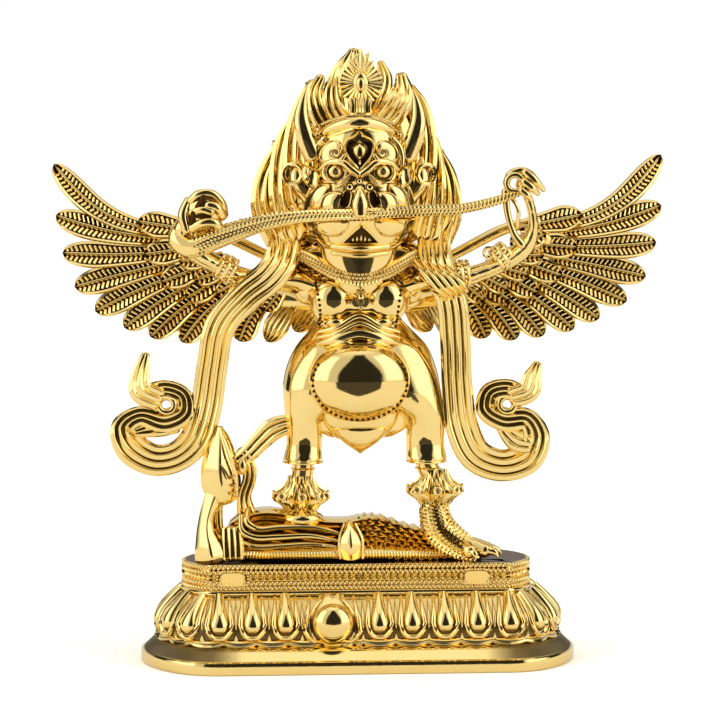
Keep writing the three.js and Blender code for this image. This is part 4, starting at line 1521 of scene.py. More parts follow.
def third_eye():
    """The pointed oval on the brow: a double frame round an upright eye, with painted shade in the groove
    between the frames and a dark pupil.
    """
    outer = symmetric(
        [
            [0, 138.9], [1.9, 137.3], [4.1, 136], [5.1, 133.6], [4.7, 131], [3.4, 128.8], [1.7, 126.9],
            [0, 125.2],
        ]
    )
    # Painted shade in the groove between the two frames
    frames = [
        (0, 0.5, 0),
        (0.05, 1.3, 0),
        (0.14, 1.7, 0),
        (0.22, 1.5, 0),
        (0.25, 0.3, 1),
        (0.44, 0.3, 1),
        (0.47, 1.0, 0.3),
        (0.53, 1.5, 0),
        (0.6, 1.2, 0.4),
        (0.64, 1.6, 0),
        (0.8, 2.1, 0),
        (0.97, 2.3, 0),
    ]
    pupil = drop(FACE_X, 131.2, 0.85, 2.7, 0.9, 16)
    dot = drop(FACE_X, 128.5, 0.45, 0.7, 0.7, 10)
    return [
        relief(on_face(rounded(outer, 3)), frames, face),
        relief(pupil, [(0, 2.3, 1), (0.3, 2.55, 1), (0.9, 2.6, 1)], face),
        relief(dot, [(0, 1.9, 0), (0.5, 2.2, 0), (0.9, 2.3, 0)], face),
    ]


def brow(side):
    """The swollen lobe beside the third eye with its curl, whose heart is painted dark as shade, and the long
    brow under it.
    """
    lobe = rounded(
        [
            [6.2, 135.4], [9, 135.9], [12.2, 134.4], [13.2, 131.2], [11.6, 128.4], [8.6, 128], [5.8, 129.6],
            [5.2, 132.6],
        ]
    )
    heart = oval(FACE_X + side * 7.2, 131.5, 1.5, 1.5, sides=14)
    arch = [[0.4, 124.8], [2.6, 126.4], [5.2, 128.4], [8, 128.9], [10.6, 128.2], [12.6, 126.4]]
    temple = [[10.8, 136.6], [12.8, 134.4], [14, 131.2], [14.2, 128]]
    return [
        relief(on_face(lobe, side), [(0, 0.3, 0), (0.12, 0.9, 0), (0.4, 1.2, 0), (0.9, 1.2, 0)], face),
        scroll(7.4, 131.6, 2.7, 1.4, 0.75, side, 200),
        relief(heart, [(0, 1.3, 0.9), (0.4, 1.35, 0.9), (0.9, 1.4, 0.9)], face),
        face_ridge(arch, 1.1, [1.0, 1.25, 1.3, 1.1, 0.9, 0.5], side),
        face_ridge(temple, 0.4, [0.7, 1.1, 1.1, 0.6], side),
    ]


def eye(side):
    """A round eye with a dark pupil, its lid ring, and the creases towards the beak."""
    x, z = 7.6, 125.6
    shells = [
        ball(face(FACE_X + side * x, z, 0.2), [2.5, 1.9, 2.3], 22),
        ball(face(FACE_X + side * (x - 0.2), z - 0.2, 1.9), [0.75, 0.6, 0.75], 12, 0.9),
        hoop(face(FACE_X + side * x, z, 0.6), 2.55, 0.5, (0, -1, 0.1), 7, 26),
        face_ridge(
            [[10.6, 127.4], [11.2, 125.4], [10.2, 123.2], [8, 122.2]], 0.5, [0.5, 0.9, 0.9, 0.5], side,
        ),
    ]
    for k in range(3):
        crease = [
            [2.9 + 0.5 * k, 124.8 - 1.15 * k],
            [4.6 + 0.5 * k, 123.4 - 1.0 * k],
            [6.2 + 0.6 * k, 122.2 - 0.7 * k],
        ]
        shells.append(face_ridge(crease, 0.3, [0.35, 0.5, 0.35], side))
    return shells


def cheek(side):
    """Two stepped cheek lobes with painted shade round their foot, the leaf beside the eye with its slit
    painted dark as shade, and the hollow beside the beak, painted dark as shade.
    """
    inner = rounded(
        [[5.6, 119], [8.6, 119.6], [11.6, 118.2], [12.8, 114.6], [11.6, 111.6], [7.4, 111.8], [6.2, 115]]
    )
    outer = rounded(
        [[9, 121.6], [12.6, 122], [15.6, 119.4], [17.4, 114.6], [16, 111.6], [12.6, 112.6], [10.4, 117]]
    )
    hollow = rounded([[2.6, 119.4], [4.6, 119.8], [6, 117.4], [6.4, 114.8], [4, 113.8], [2.9, 116]])
    leaf = oval(FACE_X + side * 15.4, 124.2, 2.5, 4.2, 0.25, side * 24, 20)
    slit = oval(FACE_X + side * 15.3, 123.9, 0.4, 1.3, 0.3, side * 12, 12)
    forms = [
        (on_face(outer, side), [(0, 0.2, 0.6), (0.06, 0.7, 0), (0.2, 1.5, 0), (0.45, 2, 0), (0.9, 2.1, 0)]),
        (on_face(inner, side), [(0, 1.2, 0.6), (0.06, 1.9, 0), (0.2, 2.8, 0), (0.45, 3.3, 0), (0.9, 3.4, 0)]),
        (leaf, [(0, 0.8, 0), (0.1, 1.6, 0), (0.3, 2.1, 0), (0.6, 2.3, 0), (0.9, 2.3, 0)]),
        (slit, [(0, 2.4, 1), (0.5, 2.5, 1), (0.9, 2.5, 1)]),
        (on_face(hollow, side), [(0, 0.9, 0), (0.1, 1.3, 0), (0.2, 1.2, 0.2), (0.26, 0.4, 1), (0.9, 0.3, 1)]),
    ]
    edge = face_ridge(
        [[4.6, 111.6], [8, 112.4], [12.6, 112.2], [16.4, 111.2]], 1.6, [0.5, 0.9, 0.9, 0.5], side,
    )
    return [*(relief(shape, steps, face) for shape, steps in forms), edge]


def beak():
    """Three nostril rings, each with a ball of painted shade in it, over a tall beak with a slot painted dark
    as shade.
    """
    shells = []
    for x, z, r in ((-3.3, 120.8, 1.05), (3.1, 120.8, 1.05), (-0.2, 122.6, 0.85)):
        spot = face(FACE_X + x, z, 2.2)
        shells.append(hoop(spot, r, 0.5, (0, -1, 0), 7, 18))
        shells.append(ball(spot + [0, 0.3, 0], [r * 0.9, 0.5, r * 0.9], 12, 1.0))
    bill = [
        [-1, -19.8, 122, 0.9, 1.2],
        [-1, -22.4, 119, 1.6, 1.8],
        [-1, -23.8, 115.8, 2.7, 2.1],
        [-1, -24.4, 113.4, 2.5, 1.9],
        [-1, -24.2, 111.6, 1.9, 1.3],
    ]
    slot = [[-1, -25.6, 115.8, 0.35, 0.7], [-1, -26, 114, 0.9, 0.6], [-1, -25.6, 112.2, 1.0, 0.5]]
    shells += [
        ball(face(FACE_X, 120.6, 0.6), [4.2, 1.8, 2.4], 20),
        sweep(bill, round_bar(18), 6, ends=0.5),
        sweep(slot, round_bar(10), 4, painted_shade=1.0),
        ball([-1, -25, 118], [0.4, 0.4, 0.8], 8, 0.4),
    ]
    return shells


def jaw():
    """The open jaw: the mouth painted dark as shade, with a fringe of teeth with painted shade at their
    roots, two lips, and the smooth pads above with painted shade round their foot.
    """
    mouth = rounded([[0.3, 108.2], [5.2, 103.6], [4.8, 102.7], [-5.8, 102.7], [-6.2, 103.6], [-1.3, 108.2]])
    rim = [(0, 1.0, 0), (0.05, 1.6, 0), (0.14, 1.7, 0), (0.2, 0.7, 1), (0.9, 0.6, 1)]
    lips = [
        [[-9.4, -16.6, 101.9, 0.8, 0.9], [-0.4, -20, 101.2, 1.0, 1.1], [8.6, -16.6, 101.9, 0.8, 0.9]],
        [[-9, -15.6, 99.8, 0.8, 0.9], [-0.4, -18.6, 99, 0.9, 1.1], [8.2, -15.6, 99.8, 0.8, 0.9]],
    ]
    shells = [sweep(JAW, round_bar(40), 6, ends=0.2), relief(mouth, rim, jaw_front, sunk=2)]
    shells += [sweep(rows, round_bar(12), 6) for rows in lips]
    for x, tall in ((-2.6, 1.1), (-1.3, 1.7), (0, 2.3), (1.3, 1.7), (2.6, 1.1)):
        tooth = drop(x - 0.5, 103.8, 0.5, tall, 0.7, 12)
        shells.append(relief(tooth, [(0, 0.8, 0.3), (0.3, 1.3, 0.2), (0.9, 1.5, 0)], jaw_front))
    pad = rounded([[4, 109.4], [9, 109.6], [14, 109], [14.8, 107], [11, 105.2], [6.4, 105.4]])
    for side in (-1, 1):
        steps = [(0, 0.6, 0.4), (0.08, 1.2, 0), (0.3, 1.5, 0), (0.9, 1.6, 0)]
        shells.append(relief(on_face(pad, side, -0.4), steps, jaw_front))
    return shells


def crown():
    """The headband in two rolls, the lines that run down to its middle, and its bosses."""
    band = [
        [-13.4, -9.4, 137.6, 1.5, 1.6],
        [-7, -15.2, 140.4, 2.0, 2],
        [-0.6, -17.4, 141.2, 2.2, 2.2],
        [6, -15.2, 140.4, 2.0, 2],
        [12.6, -9.4, 137.6, 1.5, 1.6],
    ]
    cord = [
        [-14, -9, 140.4, 0.5, 0.6],
        [-7, -13.4, 143, 0.6, 0.7],
        [-0.6, -15, 143.6, 0.6, 0.7],
        [6, -13.4, 143, 0.6, 0.7],
        [13, -9, 140.4, 0.5, 0.6],
    ]
    shells = [sweep(band, round_bar(18), 8), sweep(cord, round_bar(10), 8)]
    line = [[12, -11, 136, 0.5, 0.6], [6.6, -16.2, 138, 0.6, 0.7], [2.2, -18.4, 139.4, 0.4, 0.5]]
    for side in (-1, 1):
        shells.append(sweep([[side * x - 0.6, *rest] for x, *rest in line], round_bar(8), 6))
        for x, y, z in ((13.2, -10.6, 137.4), (11.4, -12.8, 136)):
            shells.append(ball([side * x - 0.6, y, z], [1.2, 1.1, 1.2], 12))
            # A dot of painted shade in the middle of each boss
            shells.append(ball([side * x - 0.6, y - 0.9, z], [0.4, 0.4, 0.4], 8, 1.0))
    return shells


def horn(side):
    """A smooth horn, bent a little inwards to its point."""
    rows = [
        [15.2, -11, 131, 3.2, 2.2],
        [17.6, -11.4, 137, 3.0, 2.0],
        [18.8, -11, 142.6, 2.5, 1.7],
        [18.4, -10, 147.6, 1.7, 1.2],
        [17.2, -9, 152.4, 0.3, 0.3],
    ]
    return sweep([[side * x - 0.1, *rest] for x, *rest in rows], round_bar(20), 7)


def ear(side):
    """A pointed ear with a large ring in front of it, and a ball of painted shade seen through the ring."""
    rows = [[16, -6, 117, 2.6, 2.4], [19.6, -6.4, 123.6, 3.2, 2.2], [20.6, -5, 130.4, 0.6, 0.7]]
    return [
        sweep([[side * x, *rest] for x, *rest in rows], round_bar(16), 6),
        hoop([side * 21.6, -7.6, 125.2], 3.1, 0.85, (side * 0.35, -1, 0), 9, 28),
        ball([side * 21.4, -6.6, 125.4], [1.5, 0.8, 2.2], 14, 0.7),
    ]


# The finial's foot from its base up: height, radius
FINIAL_FOOT = [
    (142.8, 3.9),
    (143.6, 4.3),
    (144.4, 4.2),
    (144.8, 3.4),
    (146.8, 3.2),
    (148.8, 3.7),
    (149.4, 3.9),
    (149.8, 2.4),
]


def finial(casting):
    """A bell foot, a rayed disc with a jewel in its middle, and a crest of petals."""
    sides, rays = 120, 26
    centre = np.array([0, -12.6, 154.4])
    a = np.arange(sides) * 2 * np.pi / sides
    foot = []
    for z, r in FINIAL_FOOT:
        flute = 1 + (0.1 * np.cos(15 * a) if 144.7 < z < 149 else 0)
        ring = [-0.1 + r * flute * np.cos(a), -12 + r * 0.8 * flute * np.sin(a), np.full(sides, z)]
        foot.append(np.column_stack(ring))
    casting.add(loft(foot))
    # The disc behind the rays carries painted shade
    casting.add(ball(centre + [0, 1.4, 0], [6.6, 1.1, 6.4], 36, 0.4))
    casting.add(hoop(centre + [0, 0.9, 0], 6.2, 0.5, (0, -1, 0), 7, 40))
    casting.add(ball(centre + [0, 0.6, -0.3], [2.7, 1.6, 3.7], 24))
    casting.add(ball(centre + [0, -0.6, -0.6], [1.5, 1.1, 2.2], 18))
    turn = np.arange(rays + 1) * 2 * np.pi / rays
    spokes = np.column_stack([np.cos(turn), np.zeros(rays + 1), np.sin(turn)])
    path = centre + casting.lift + spokes * 2.6
    casting.take(laid(BARS, [(path, spokes, (0, -1, 0), 4.6)], GILT_FINE, 0.62, 1.0, 0.42, 0.3, 0.0))
    for turn, reach, wide in ((0, 6.6, 1.5), (-26, 6, 1.4), (26, 6, 1.4), (-54, 4.8, 1.2), (54, 4.8, 1.2)):
        a = math.radians(turn)
        out = np.array([math.sin(a), 0, math.cos(a)])
        root = centre + [0, 0.4 if turn else -0.4, 4.0]
        rows = [
            [*root, 0.9, 0.8], [*(root + out * reach * 0.55), wide, 0.9], [*(root + out * reach), 0.3, 0.3],
        ]
        casting.add(sweep(rows, ribbed(2, 0.3), 6))


# Flame locks, given as points [x, y, z, half width, half depth] from root to tip
LOCKS_LEFT = [
    [
        [-26, -2, 104, 4.6, 3], [-30.4, -1, 114, 4.6, 3], [-30, 0, 124, 3.6, 2.8], [-27, 1, 131.4, 2.6, 2],
        [-25.6, 1, 136, 1, 1],
    ],
    [
        [-21.6, -4, 106, 4.6, 3], [-24.6, -3, 117, 4.6, 3], [-25, -2, 129, 3.8, 2.8],
        [-23.4, -1, 138, 2.6, 2], [-20.6, 0, 144, 1, 1],
    ],
    [
        [-18.6, -4, 116, 4.2, 3], [-20.6, -3, 129, 4.2, 3], [-19.6, -2, 141, 3.8, 2.6],
        [-17, -1, 150, 2.6, 2], [-14.6, 0, 155, 1.3, 1.2],
    ],
    [
        [-10, -6, 139, 3.4, 3], [-13.6, -5, 146, 3.2, 3], [-14.4, -3, 152, 2.6, 2],
        [-12.4, -2, 156.2, 1.5, 1.4],
    ],
    [[-5.4, -7, 141, 3.4, 2.6], [-8.6, -6, 147, 3.2, 2.6], [-9, -4, 152.6, 2.4, 2.2], [-8, -2, 157, 1.2, 1]],
]
LOCKS_RIGHT = [
    [
        [26, -2, 104, 4.6, 3], [29.6, -1, 113, 4.4, 3], [29.6, 0, 122.4, 3.3, 2.8], [28, 1, 129, 2.2, 2],
        [26.6, 1, 133, 0.9, 0.9],
    ],
    [
        [21.6, -4, 106, 4.6, 3], [24, -3, 117, 4.4, 3], [24.6, -2, 128, 3.4, 2.8], [23.8, -1, 135.6, 2.6, 2],
        [21.4, 0, 142, 1, 1],
    ],
    [
        [18.6, -4, 116, 4.2, 3], [21.4, -3, 129, 4, 3], [21.6, -2, 139, 3.6, 2.6], [20.2, -1, 147.4, 2.6, 2],
        [17.4, 0, 153.4, 1.3, 1.2],
    ],
    [[7, -7, 141, 4.4, 3], [11, -6, 146, 4.6, 3], [14.2, -4, 151, 3.6, 2.4], [14, -2, 156.6, 2.0, 1.8]],
    [[4, -6, 144, 3, 2.6], [7, -5, 151, 3, 2.4], [8.6, -3, 156.4, 2.2, 2], [7.4, -1, 161, 1.2, 1.2]],
]
CREST = [
    [-0.4, -4, 138, 9, 4], [-1.6, -3, 147, 9.4, 3.6], [-1.8, -1, 155, 8.6, 3], [-1.6, 0, 161, 5.6, 2.4],
    [-1.4, 0, 165, 2, 1.4],
]
MANE_EDGE = [
    [0, 100], [14, 101], [24.4, 106], [29.8, 113], [30, 121], [26.6, 131], [22.6, 140], [18, 148],
    [12, 154.6], [5, 158.6], [-1.6, 162.6],
]


def back_lock(turn):
    """One swirled lock on the back of the mane, at a turn in degrees from straight up."""
    a = math.radians(turn)
    out = np.array([math.sin(a), math.cos(a)])
    aside = np.array([out[1], -out[0]])
    length = 37 if abs(turn) < 30 else 31 if abs(turn) < 110 else 27
    rows = []
    for share, y, wide in (
        (0.05, 14.2, 2.0), (0.3, 14.4, 4), (0.6, 12.8, 4.6), (0.8, 9, 3.4), (0.92, 5, 1.2),
    ):
        swirl = 0.12 * math.sin(share * 5)
        x, z = np.array([0, 124]) + (out + aside * swirl) * length * share
        rows.append([x, y, z, wide, 2.2])
    return sweep(rows, ribbed(3, 0.45), 6, hint=(0, -1, 0))


def mane():
    """A full head of hair behind the face, with ribbed flame locks in front of it and at its back."""
    edge = rounded(symmetric(MANE_EDGE))
    middle = np.array([0, 126.0])
    layers = []
    for y, share in ((-5, 0.4), (-3, 0.8), (1, 0.97), (5, 1.0), (9, 0.93), (12, 0.76), (14, 0.45)):
        flat = middle + (edge - middle) * share
        layers.append(np.column_stack([flat[:, 0], np.full(len(flat), float(y)), flat[:, 1]]))
    # The mass of hair behind the locks carries a little painted shade
    shells = [loft(layers, 0.15)]
    for rows in (*LOCKS_LEFT, *LOCKS_RIGHT):
        shells.append(sweep(rows, ribbed(3, 0.34), 7))
    shells.append(sweep(CREST, ribbed(5, 0.3), 8))
    return shells + [back_lock(20 * k - 140) for k in range(BACK_LOCKS)]


def head():
    """The mask with its jaw, crown, horns and ears, in the flaming mane."""
    casting = Casting(SEAT)
    casting.add(sweep(HEAD, round_bar(40), 6, ends=0.4))
    casting.add_all(jaw())
    casting.add_all(third_eye())
    casting.add_all(beak())
    casting.add_all(crown())
    for side in (-1, 1):
        casting.add_all(brow(side))
        casting.add_all(eye(side))
        casting.add_all(cheek(side))
        casting.add(horn(side))
        casting.add_all(ear(side))
    casting.add_all(mane())
    finial(casting)
    return casting.piece("garuda_head", GILT, "garuda_figure")


# Trampled serpent spirit


def pleated(shell, centre, start, pitch, depth, slant):
    """The shell with fine pleats round a lengthwise line at centre [y, z], from start on to the right."""
    points = shell[0].copy()
    out = unit(np.column_stack([np.zeros(len(points)), points[:, 1] - centre[0], points[:, 2] - centre[1]]))
    wave = np.cos(2 * np.pi * (points[:, 0] + slant * (points[:, 2] - centre[1])) / pitch)
    points += out * (wave * depth * np.clip((points[:, 0] - start) / 3, 0, 1))[:, None]
    return (points, *shell[1:])


def spirit_hood():
    """The bowed hood with its rolled edge, the slit in it painted dark as shade, and three beads beside it,
    each with a dot of painted shade.
    """
    hood = [
        [-45.6, -8, 43.2, 1.3, 1.3],
        [-45.4, -8, 40, 3.2, 3],
        [-45.4, -8, 35, 5.0, 4.4],
        [-45.4, -8, 29.6, 6.2, 5.2],
        [-45, -8, 24.6, 6.4, 5.2],
        [-44.4, -8, 20.4, 4.6, 4.2],
    ]
    edge = [
        [-44.6, -11.6, 41, 0.4, 0.5],
        [-42.4, -12.4, 35, 0.6, 0.6],
        [-40.4, -11.4, 28, 0.7, 0.7],
        [-40, -10.4, 21.6, 0.5, 0.5],
    ]
    slit = [[-45.6, -13, 32, 0.2, 0.3], [-43.8, -13.4, 29.6, 0.45, 0.5], [-42.4, -13, 27, 0.2, 0.3]]
    shells = [
        sweep(hood, keeled(), 6, ends=0.6),
        sweep(edge, round_bar(8), 6),
        sweep(slit, round_bar(8), 5, painted_shade=0.9),
    ]
    for x, y, z in ((-41.4, -12, 27.4), (-40.8, -11.8, 24.6), (-41.2, -11.6, 21.8)):
        shells.append(ball([x, y, z], [0.75, 0.7, 0.75], 10))
        shells.append(ball([x - 0.2, y - 0.55, z], [0.3, 0.3, 0.3], 8, 1.0))
    return shells


def spirit_arms():
    """The arm that props it up, with its cuff, and the raised arm with the braid behind it."""
    arm = [
        [-46.4, -8, 22.4, 3.6, 2.6],
        [-48.4, -9.2, 17.6, 3.0, 2.6],
        [-49.6, -10, 13, 2.9, 2.7],
        [-49.6, -10.4, 9, 3.6, 3.2],
        [-48.8, -10.8, 5, 4.9, 4.0],
        [-48.2, -11, 1.6, 5.4, 4.2],
        [-48, -11, 0.2, 5, 3.8],
    ]
    strand = [[-45.6, -7, 20.6, 1.3, 1.3], [-46, -7.4, 15, 1.5, 1.4], [-45.6, -8, 9.6, 1.3, 1.3]]
    cuff = [[-41.8, -9.4, 10.8, 3.6, 2.4], [-41.6, -9.8, 6, 3.8, 2.7], [-41.4, -10, 0.8, 3.7, 3]]
    raised = [
        [-39.6, -7.4, 32.4, 2.2, 2.2],
        [-36.2, -6.6, 34.8, 2.9, 2.5],
        [-32.2, -5.4, 38.8, 3.3, 2.7],
        [-27.8, -4.6, 42.6, 3.6, 2.9],
        [-22.6, -4, 44.4, 3.0, 2.6],
    ]
    braid = [
        [-38.2, -7, 35, 2.0, 1.9],
        [-35.9, -6.6, 30.6, 2.3, 2.1],
        [-36, -6.4, 26, 2.2, 2.1],
        [-37.6, -6.4, 21, 2.3, 2.2],
        [-36.8, -6, 15, 3.2, 2.6],
    ]
    return [
        sweep(arm, keeled(), 6, ends=0.3),
        # The strand behind the arm carries a little painted shade
        sweep(strand, round_bar(10), 6, painted_shade=0.2),
        sweep(cuff, ribbed(4, 0.3), 6, ends=0.3),
        sweep(raised, ribbed(3, 0.3), 7),
        sweep(braid, ribbed(3, 0.3), 7),
        ball([-38.2, -8.8, 30.6], [1.7, 1.6, 2.7], 18),
    ]


def spirit_robe():
    """The pleated robe under the feet, the finer drape along its front, and three long folds."""
    robe = [
        [-36.6, -3.2, 8.6, 6.8, 7.4],
        [-31, -3, 9, 7.8, 8.6],
        [-22, -3, 8, 7.6, 8.8],
        [-12, -3, 6.8, 6.8, 8.6],
        [-3, -2.6, 6.6, 6.8, 8.2],
        [4, -2.4, 7.2, 7.2, 8],
        [14, -2.4, 5.4, 6, 7.6],
        [24, -3, 4.2, 4.8, 6.8],
        [30, -3, 3.6, 3.6, 6],
    ]
    drape = [
        [-37.6, -5.6, 2.2, 2.6, 6.4],
        [-30, -5.6, 2.4, 2.9, 6.8],
        [-12, -5.4, 2.2, 2.8, 6.6],
        [4, -5.2, 2.2, 2.8, 6.6],
        [18, -5, 1.8, 2.4, 6.2],
        [31, -5, 1.2, 1.8, 5.4],
    ]
    folds = [
        [
            [-36.4, -8.8, 16.4, 0.9, 0.9],
            [-36.8, -11.4, 13, 1.2, 1.2],
            [-33.6, -12, 10.8, 1.2, 1.3],
            [-26, -12, 11.2, 1.1, 1.2],
            [-15, -11.2, 11, 0.9, 1.0],
            [-6, -10.6, 8.6, 0.6, 0.7],
        ],
        [
            [-38.8, -9.6, 14.6, 0.8, 0.8],
            [-38.4, -11.6, 10.2, 1.1, 1.1],
            [-34.6, -12.2, 8, 1.2, 1.2],
            [-27, -12.4, 8, 1.1, 1.1],
            [-16, -11.8, 8.2, 0.9, 0.9],
            [-7, -11.2, 6.4, 0.5, 0.6],
        ],
        [
            [-38.4, -11, 6.6, 0.7, 0.8],
            [-34, -12.2, 5, 1.0, 1.1],
            [-26, -12.2, 5.2, 1.0, 1.1],
            [-16, -11.8, 5.6, 0.8, 0.9],
            [-8, -11.2, 4.6, 0.5, 0.5],
        ],
    ]
    return [
        pleated(sweep(robe, ribbed(8, 0.3), 28), [-2.6, 5], -1, 2.6, 0.34, 0.9),
        pleated(sweep(drape, round_bar(16), 80), [-5.3, 2], -40, 1.0, 0.11, 0.2),
        *(sweep(rows, round_bar(10), 7) for rows in folds),
    ]


def sash_drop():
    """The blunt drop of cloth at the middle of the robe, between two thin cords."""
    tongue = [
        [-3.6, -10, 12.6, 1.0, 1.2],
        [-3.4, -12, 9, 2.6, 1.8],
        [-3.2, -12.6, 4.4, 3.4, 2.0],
        [-3.0, -12.2, 0.8, 2.8, 1.6],
    ]
    cords = [
        [[-5.4, -11.4, 12, 0.4, 0.5], [-7, -12, 7, 0.5, 0.6], [-6.6, -12.2, 1, 0.5, 0.5]],
        [[-1.6, -11.4, 12, 0.4, 0.5], [0.6, -12, 7, 0.5, 0.6], [0.6, -12.2, 1, 0.5, 0.5]],
    ]
    return [sweep(tongue, keeled(), 6, ends=0.4), *(sweep(rows, round_bar(8), 5) for rows in cords)]


def spirit():
    """The trampled spirit on the tier."""
    casting = Casting(SEAT)
    casting.add_all(spirit_hood())
    casting.add_all(spirit_arms())
    casting.add_all(spirit_robe())
    casting.add_all(sash_drop())
    return casting.piece("serpent_spirit", GILT, "garuda_figure")


# Wings, drawn on the right. Feather rows are [root x, root z, tip x, tip z, bow]
PRIMARIES = [
    [60, 107.4, 100, 130.4, -5.8],
    [60, 105.5, 99.6, 113.6, -1.6],
    [58, 102, 97.6, 101.4, -1],
    [56, 99, 93.8, 90.2, 0.4],
    [53, 96, 87.2, 82.1, 1],
    [49, 93.4, 77.8, 76.6, 1.4],
    [44.4, 91, 69.2, 73.4, 1.6],
    [39.4, 89.4, 59, 71.6, 1.8],
    [34, 88, 50, 70.8, 1.8],
    [29, 87, 40, 71.6, 1.6],
]
COVERTS = [
    [52, 108, 72.8, 111.4, 0],
    [49, 103.4, 71, 100.6, 0],
    [45, 99.4, 65.6, 91.4, 0],
    [40, 96, 57.4, 86, 0],
    [34, 93, 48, 84, 0],
]
SMALL_COVERTS = [
    [50, 101.5, 60.5, 105.6, 0],
    [47, 98.6, 59.6, 98.4, 0],
    [42.4, 95.8, 54.6, 92, 0],
    [37, 93.4, 47.6, 87.4, 0],
    [31, 91.6, 39.6, 84, 0],
    [25, 90, 31.6, 81.6, 0],
]
PLUMES = [[13, 88, 21.6, 74.6, 0], [21, 88, 31, 71.4, 0]]
# How each wing is cast askew: turn in degrees, move right, move up, stretch
WING_SET = {-1: (0.6, 1.2, -1.0, 1.0), 1: (1.9, 2.2, -1.0, 1.008)}
SHINGLE = 0.2  # how far a feather tilts over the next one, as a slope


def vane_section(width, depth):
    """A feather across: a bright rim, a sunk vane painted dark as shade, the doubled quill with painted shade
    between its lines, and a plain back.
    """
    rim = min(FEATHER_RIM, 0.42 * width)
    quill = min(QUILL, 0.26 * width)
    half = [
        (-width, 0.25, 0),
        (-width, -0.25, 0),
        (-width + 0.35 * rim, -0.75, 0),
        (-width + rim, -0.4, 0),
        (-width + rim * 1.04, 0.1, 1),
        (-quill * 1.1, 0.1, 1),
        (-quill, -0.35, 0),
        (-quill * 0.55, -0.8, 0),
        (-quill * 0.1, -0.55, 0.4),
    ]
    front = half + [(-s, v, m) for s, v, m in reversed(half)]
    back = [(width * 0.55, 0.8, 0), (0, 1, 0), (-width * 0.55, 0.8, 0)]
    shape = np.array(front + back)
    return shape[:, :2] * [1, depth], shape[:, 2]


def feather(row, y, width, tip, count=22):
    """Rows along a feather, and its tilt: like a shingle its far edge lies under the one before."""
    x, z, tip_x, tip_z, bow = row
    t = 1 - (1 - np.linspace(0, 1, count)) ** 1.35
    chord = np.array([tip_x - x, tip_z - z])
    across = np.array([-chord[1], chord[0]]) / np.linalg.norm(chord)
    middle = np.array([x, z]) + t[:, None] * chord + (bow * np.sin(np.pi * t))[:, None] * across
    root = 0.5 + 0.5 * np.clip(t / 0.7, 0, 1)
    end = np.clip((t - tip) / (1 - tip), 0, 1)
    half = np.maximum(0.5 * width * root * np.maximum(1 - end**2.4, 0.0) ** 0.5, 0.12)
    dip = 0.9 * np.sin(np.pi * t * 0.5)
    rows = np.column_stack([middle[:, 0], y + dip, middle[:, 1], half, np.full(count, FEATHER_HALF)])
    return rows, np.array([-SHINGLE * across[0], 1, -SHINGLE * across[1]])


def barb_paths(rows, tilt):
    """Paths up both sides of the quill, each point leaning out and forward to the rim."""
    keep = rows[rows[:, 3] > 1.7]
    if len(keep) < 4:
        return []
    along = unit(np.gradient(keep[:, :3], axis=0))
    side = unit(np.cross(tilt, along))
    keep, along, side = keep[1:-1], along[1:-1], side[1:-1]
    gap = keep[:, 3] - FEATHER_RIM - QUILL
    paths = []
    for sign in (-1, 1):
        sunk = tilt * (0.2 if sign < 0 else 0.0)
        start = keep[:, :3] + side * (sign * (QUILL + 0.12 * gap))[:, None] - sunk
        lean = side * (sign * gap)[:, None] + along * (gap * 0.5)[:, None]
        paths.append((start, lean, -tilt, np.linalg.norm(lean, axis=1) * 0.74))
    return paths


def wing_feathers():
    """The long feathers and their coverts; the two ribbed plumes beside the trunk come last."""
    feathers = []
    for i, row in enumerate(PRIMARIES):
        feathers.append(feather(row, 7.6 + 0.1 * i, FEATHER_WIDTH - (1.2 if i == 0 else 0), 0.74))
    for i, row in enumerate(COVERTS):
        feathers.append(feather(row, 5.6 + 0.05 * i, FEATHER_WIDTH * 1.02, 0.6, 18))
    for i, row in enumerate(SMALL_COVERTS):
        feathers.append(feather(row, 4.2 + 0.05 * i, FEATHER_WIDTH * 0.8, 0.45, 14))
    for i, row in enumerate(PLUMES):
        feathers.append(feather(row, 7.4 - i, FEATHER_WIDTH, 0.5, 16))
    return feathers


def wing_bones():
    """The bar behind the feathers' roots and the thin one along the wing's upper edge."""
    back = [[12, 6.5, 86, 5, 3], [32, 8, 88, 4.6, 2.4], [46, 8, 94.4, 4.6, 2.4], [60, 8, 105, 4.4, 2.2]]
    edge = [
        [12, 3.4, 92.4, 2.6, 2.6], [28.8, 7, 99, 1.9, 1.9], [47.4, 7, 107.6, 1.9, 1.9],
        [58, 7, 109.6, 1.6, 1.8],
    ]
    return [sweep(back, round_bar(20), 6), sweep(edge, round_bar(12), 6)]


def hung(vectors, side, moved=True):
    """A right wing's points or directions on their side: the wings are cast a little askew."""
    turn, out, rise, stretch = WING_SET[side]
    c, s = math.cos(math.radians(turn)), math.sin(math.radians(turn))
    pivot = np.array([20.0 * side, 0, 95]) if moved else np.zeros(3)
    v = (np.asarray(vectors) * [side, 1, 1] - pivot) * [stretch, 1, 1]
    turned = np.stack([c * v[..., 0] - s * v[..., 2], v[..., 1], s * v[..., 0] + c * v[..., 2]], axis=-1)
    return turned + pivot + (np.array([out, 0, rise]) if moved else 0)


def wings():
    """Both wings, each feather with its barbs."""
    casting = Casting(SEAT)
    feathers = wing_feathers()
    plain = len(feathers) - len(PLUMES)
    paths = []
    for side in (-1, 1):
        shells = []
        for i, (rows, tilt) in enumerate(feathers):
            section = vane_section if i < plain else ribbed(5, 0.5)
            shells.append(sweep(rows, section, steps=1, hint=tilt, ends=0.4))
        for shell in shells + wing_bones():
            casting.add((hung(shell[0], side), *shell[1:]))
        for rows, tilt in feathers:
            for start, lean, up, reach in barb_paths(rows, tilt):
                root = hung(start, side) + casting.lift
                paths.append((root, hung(lean, side, False), hung(up, side, False), reach))
    casting.take(laid(BARS, paths, GILT_FINE, BARB_PITCH, 1.0, 0.4, 0.27, 0.12))
    return casting.piece("garuda_wings", GILT_FINE, "garuda_figure", crease=50)


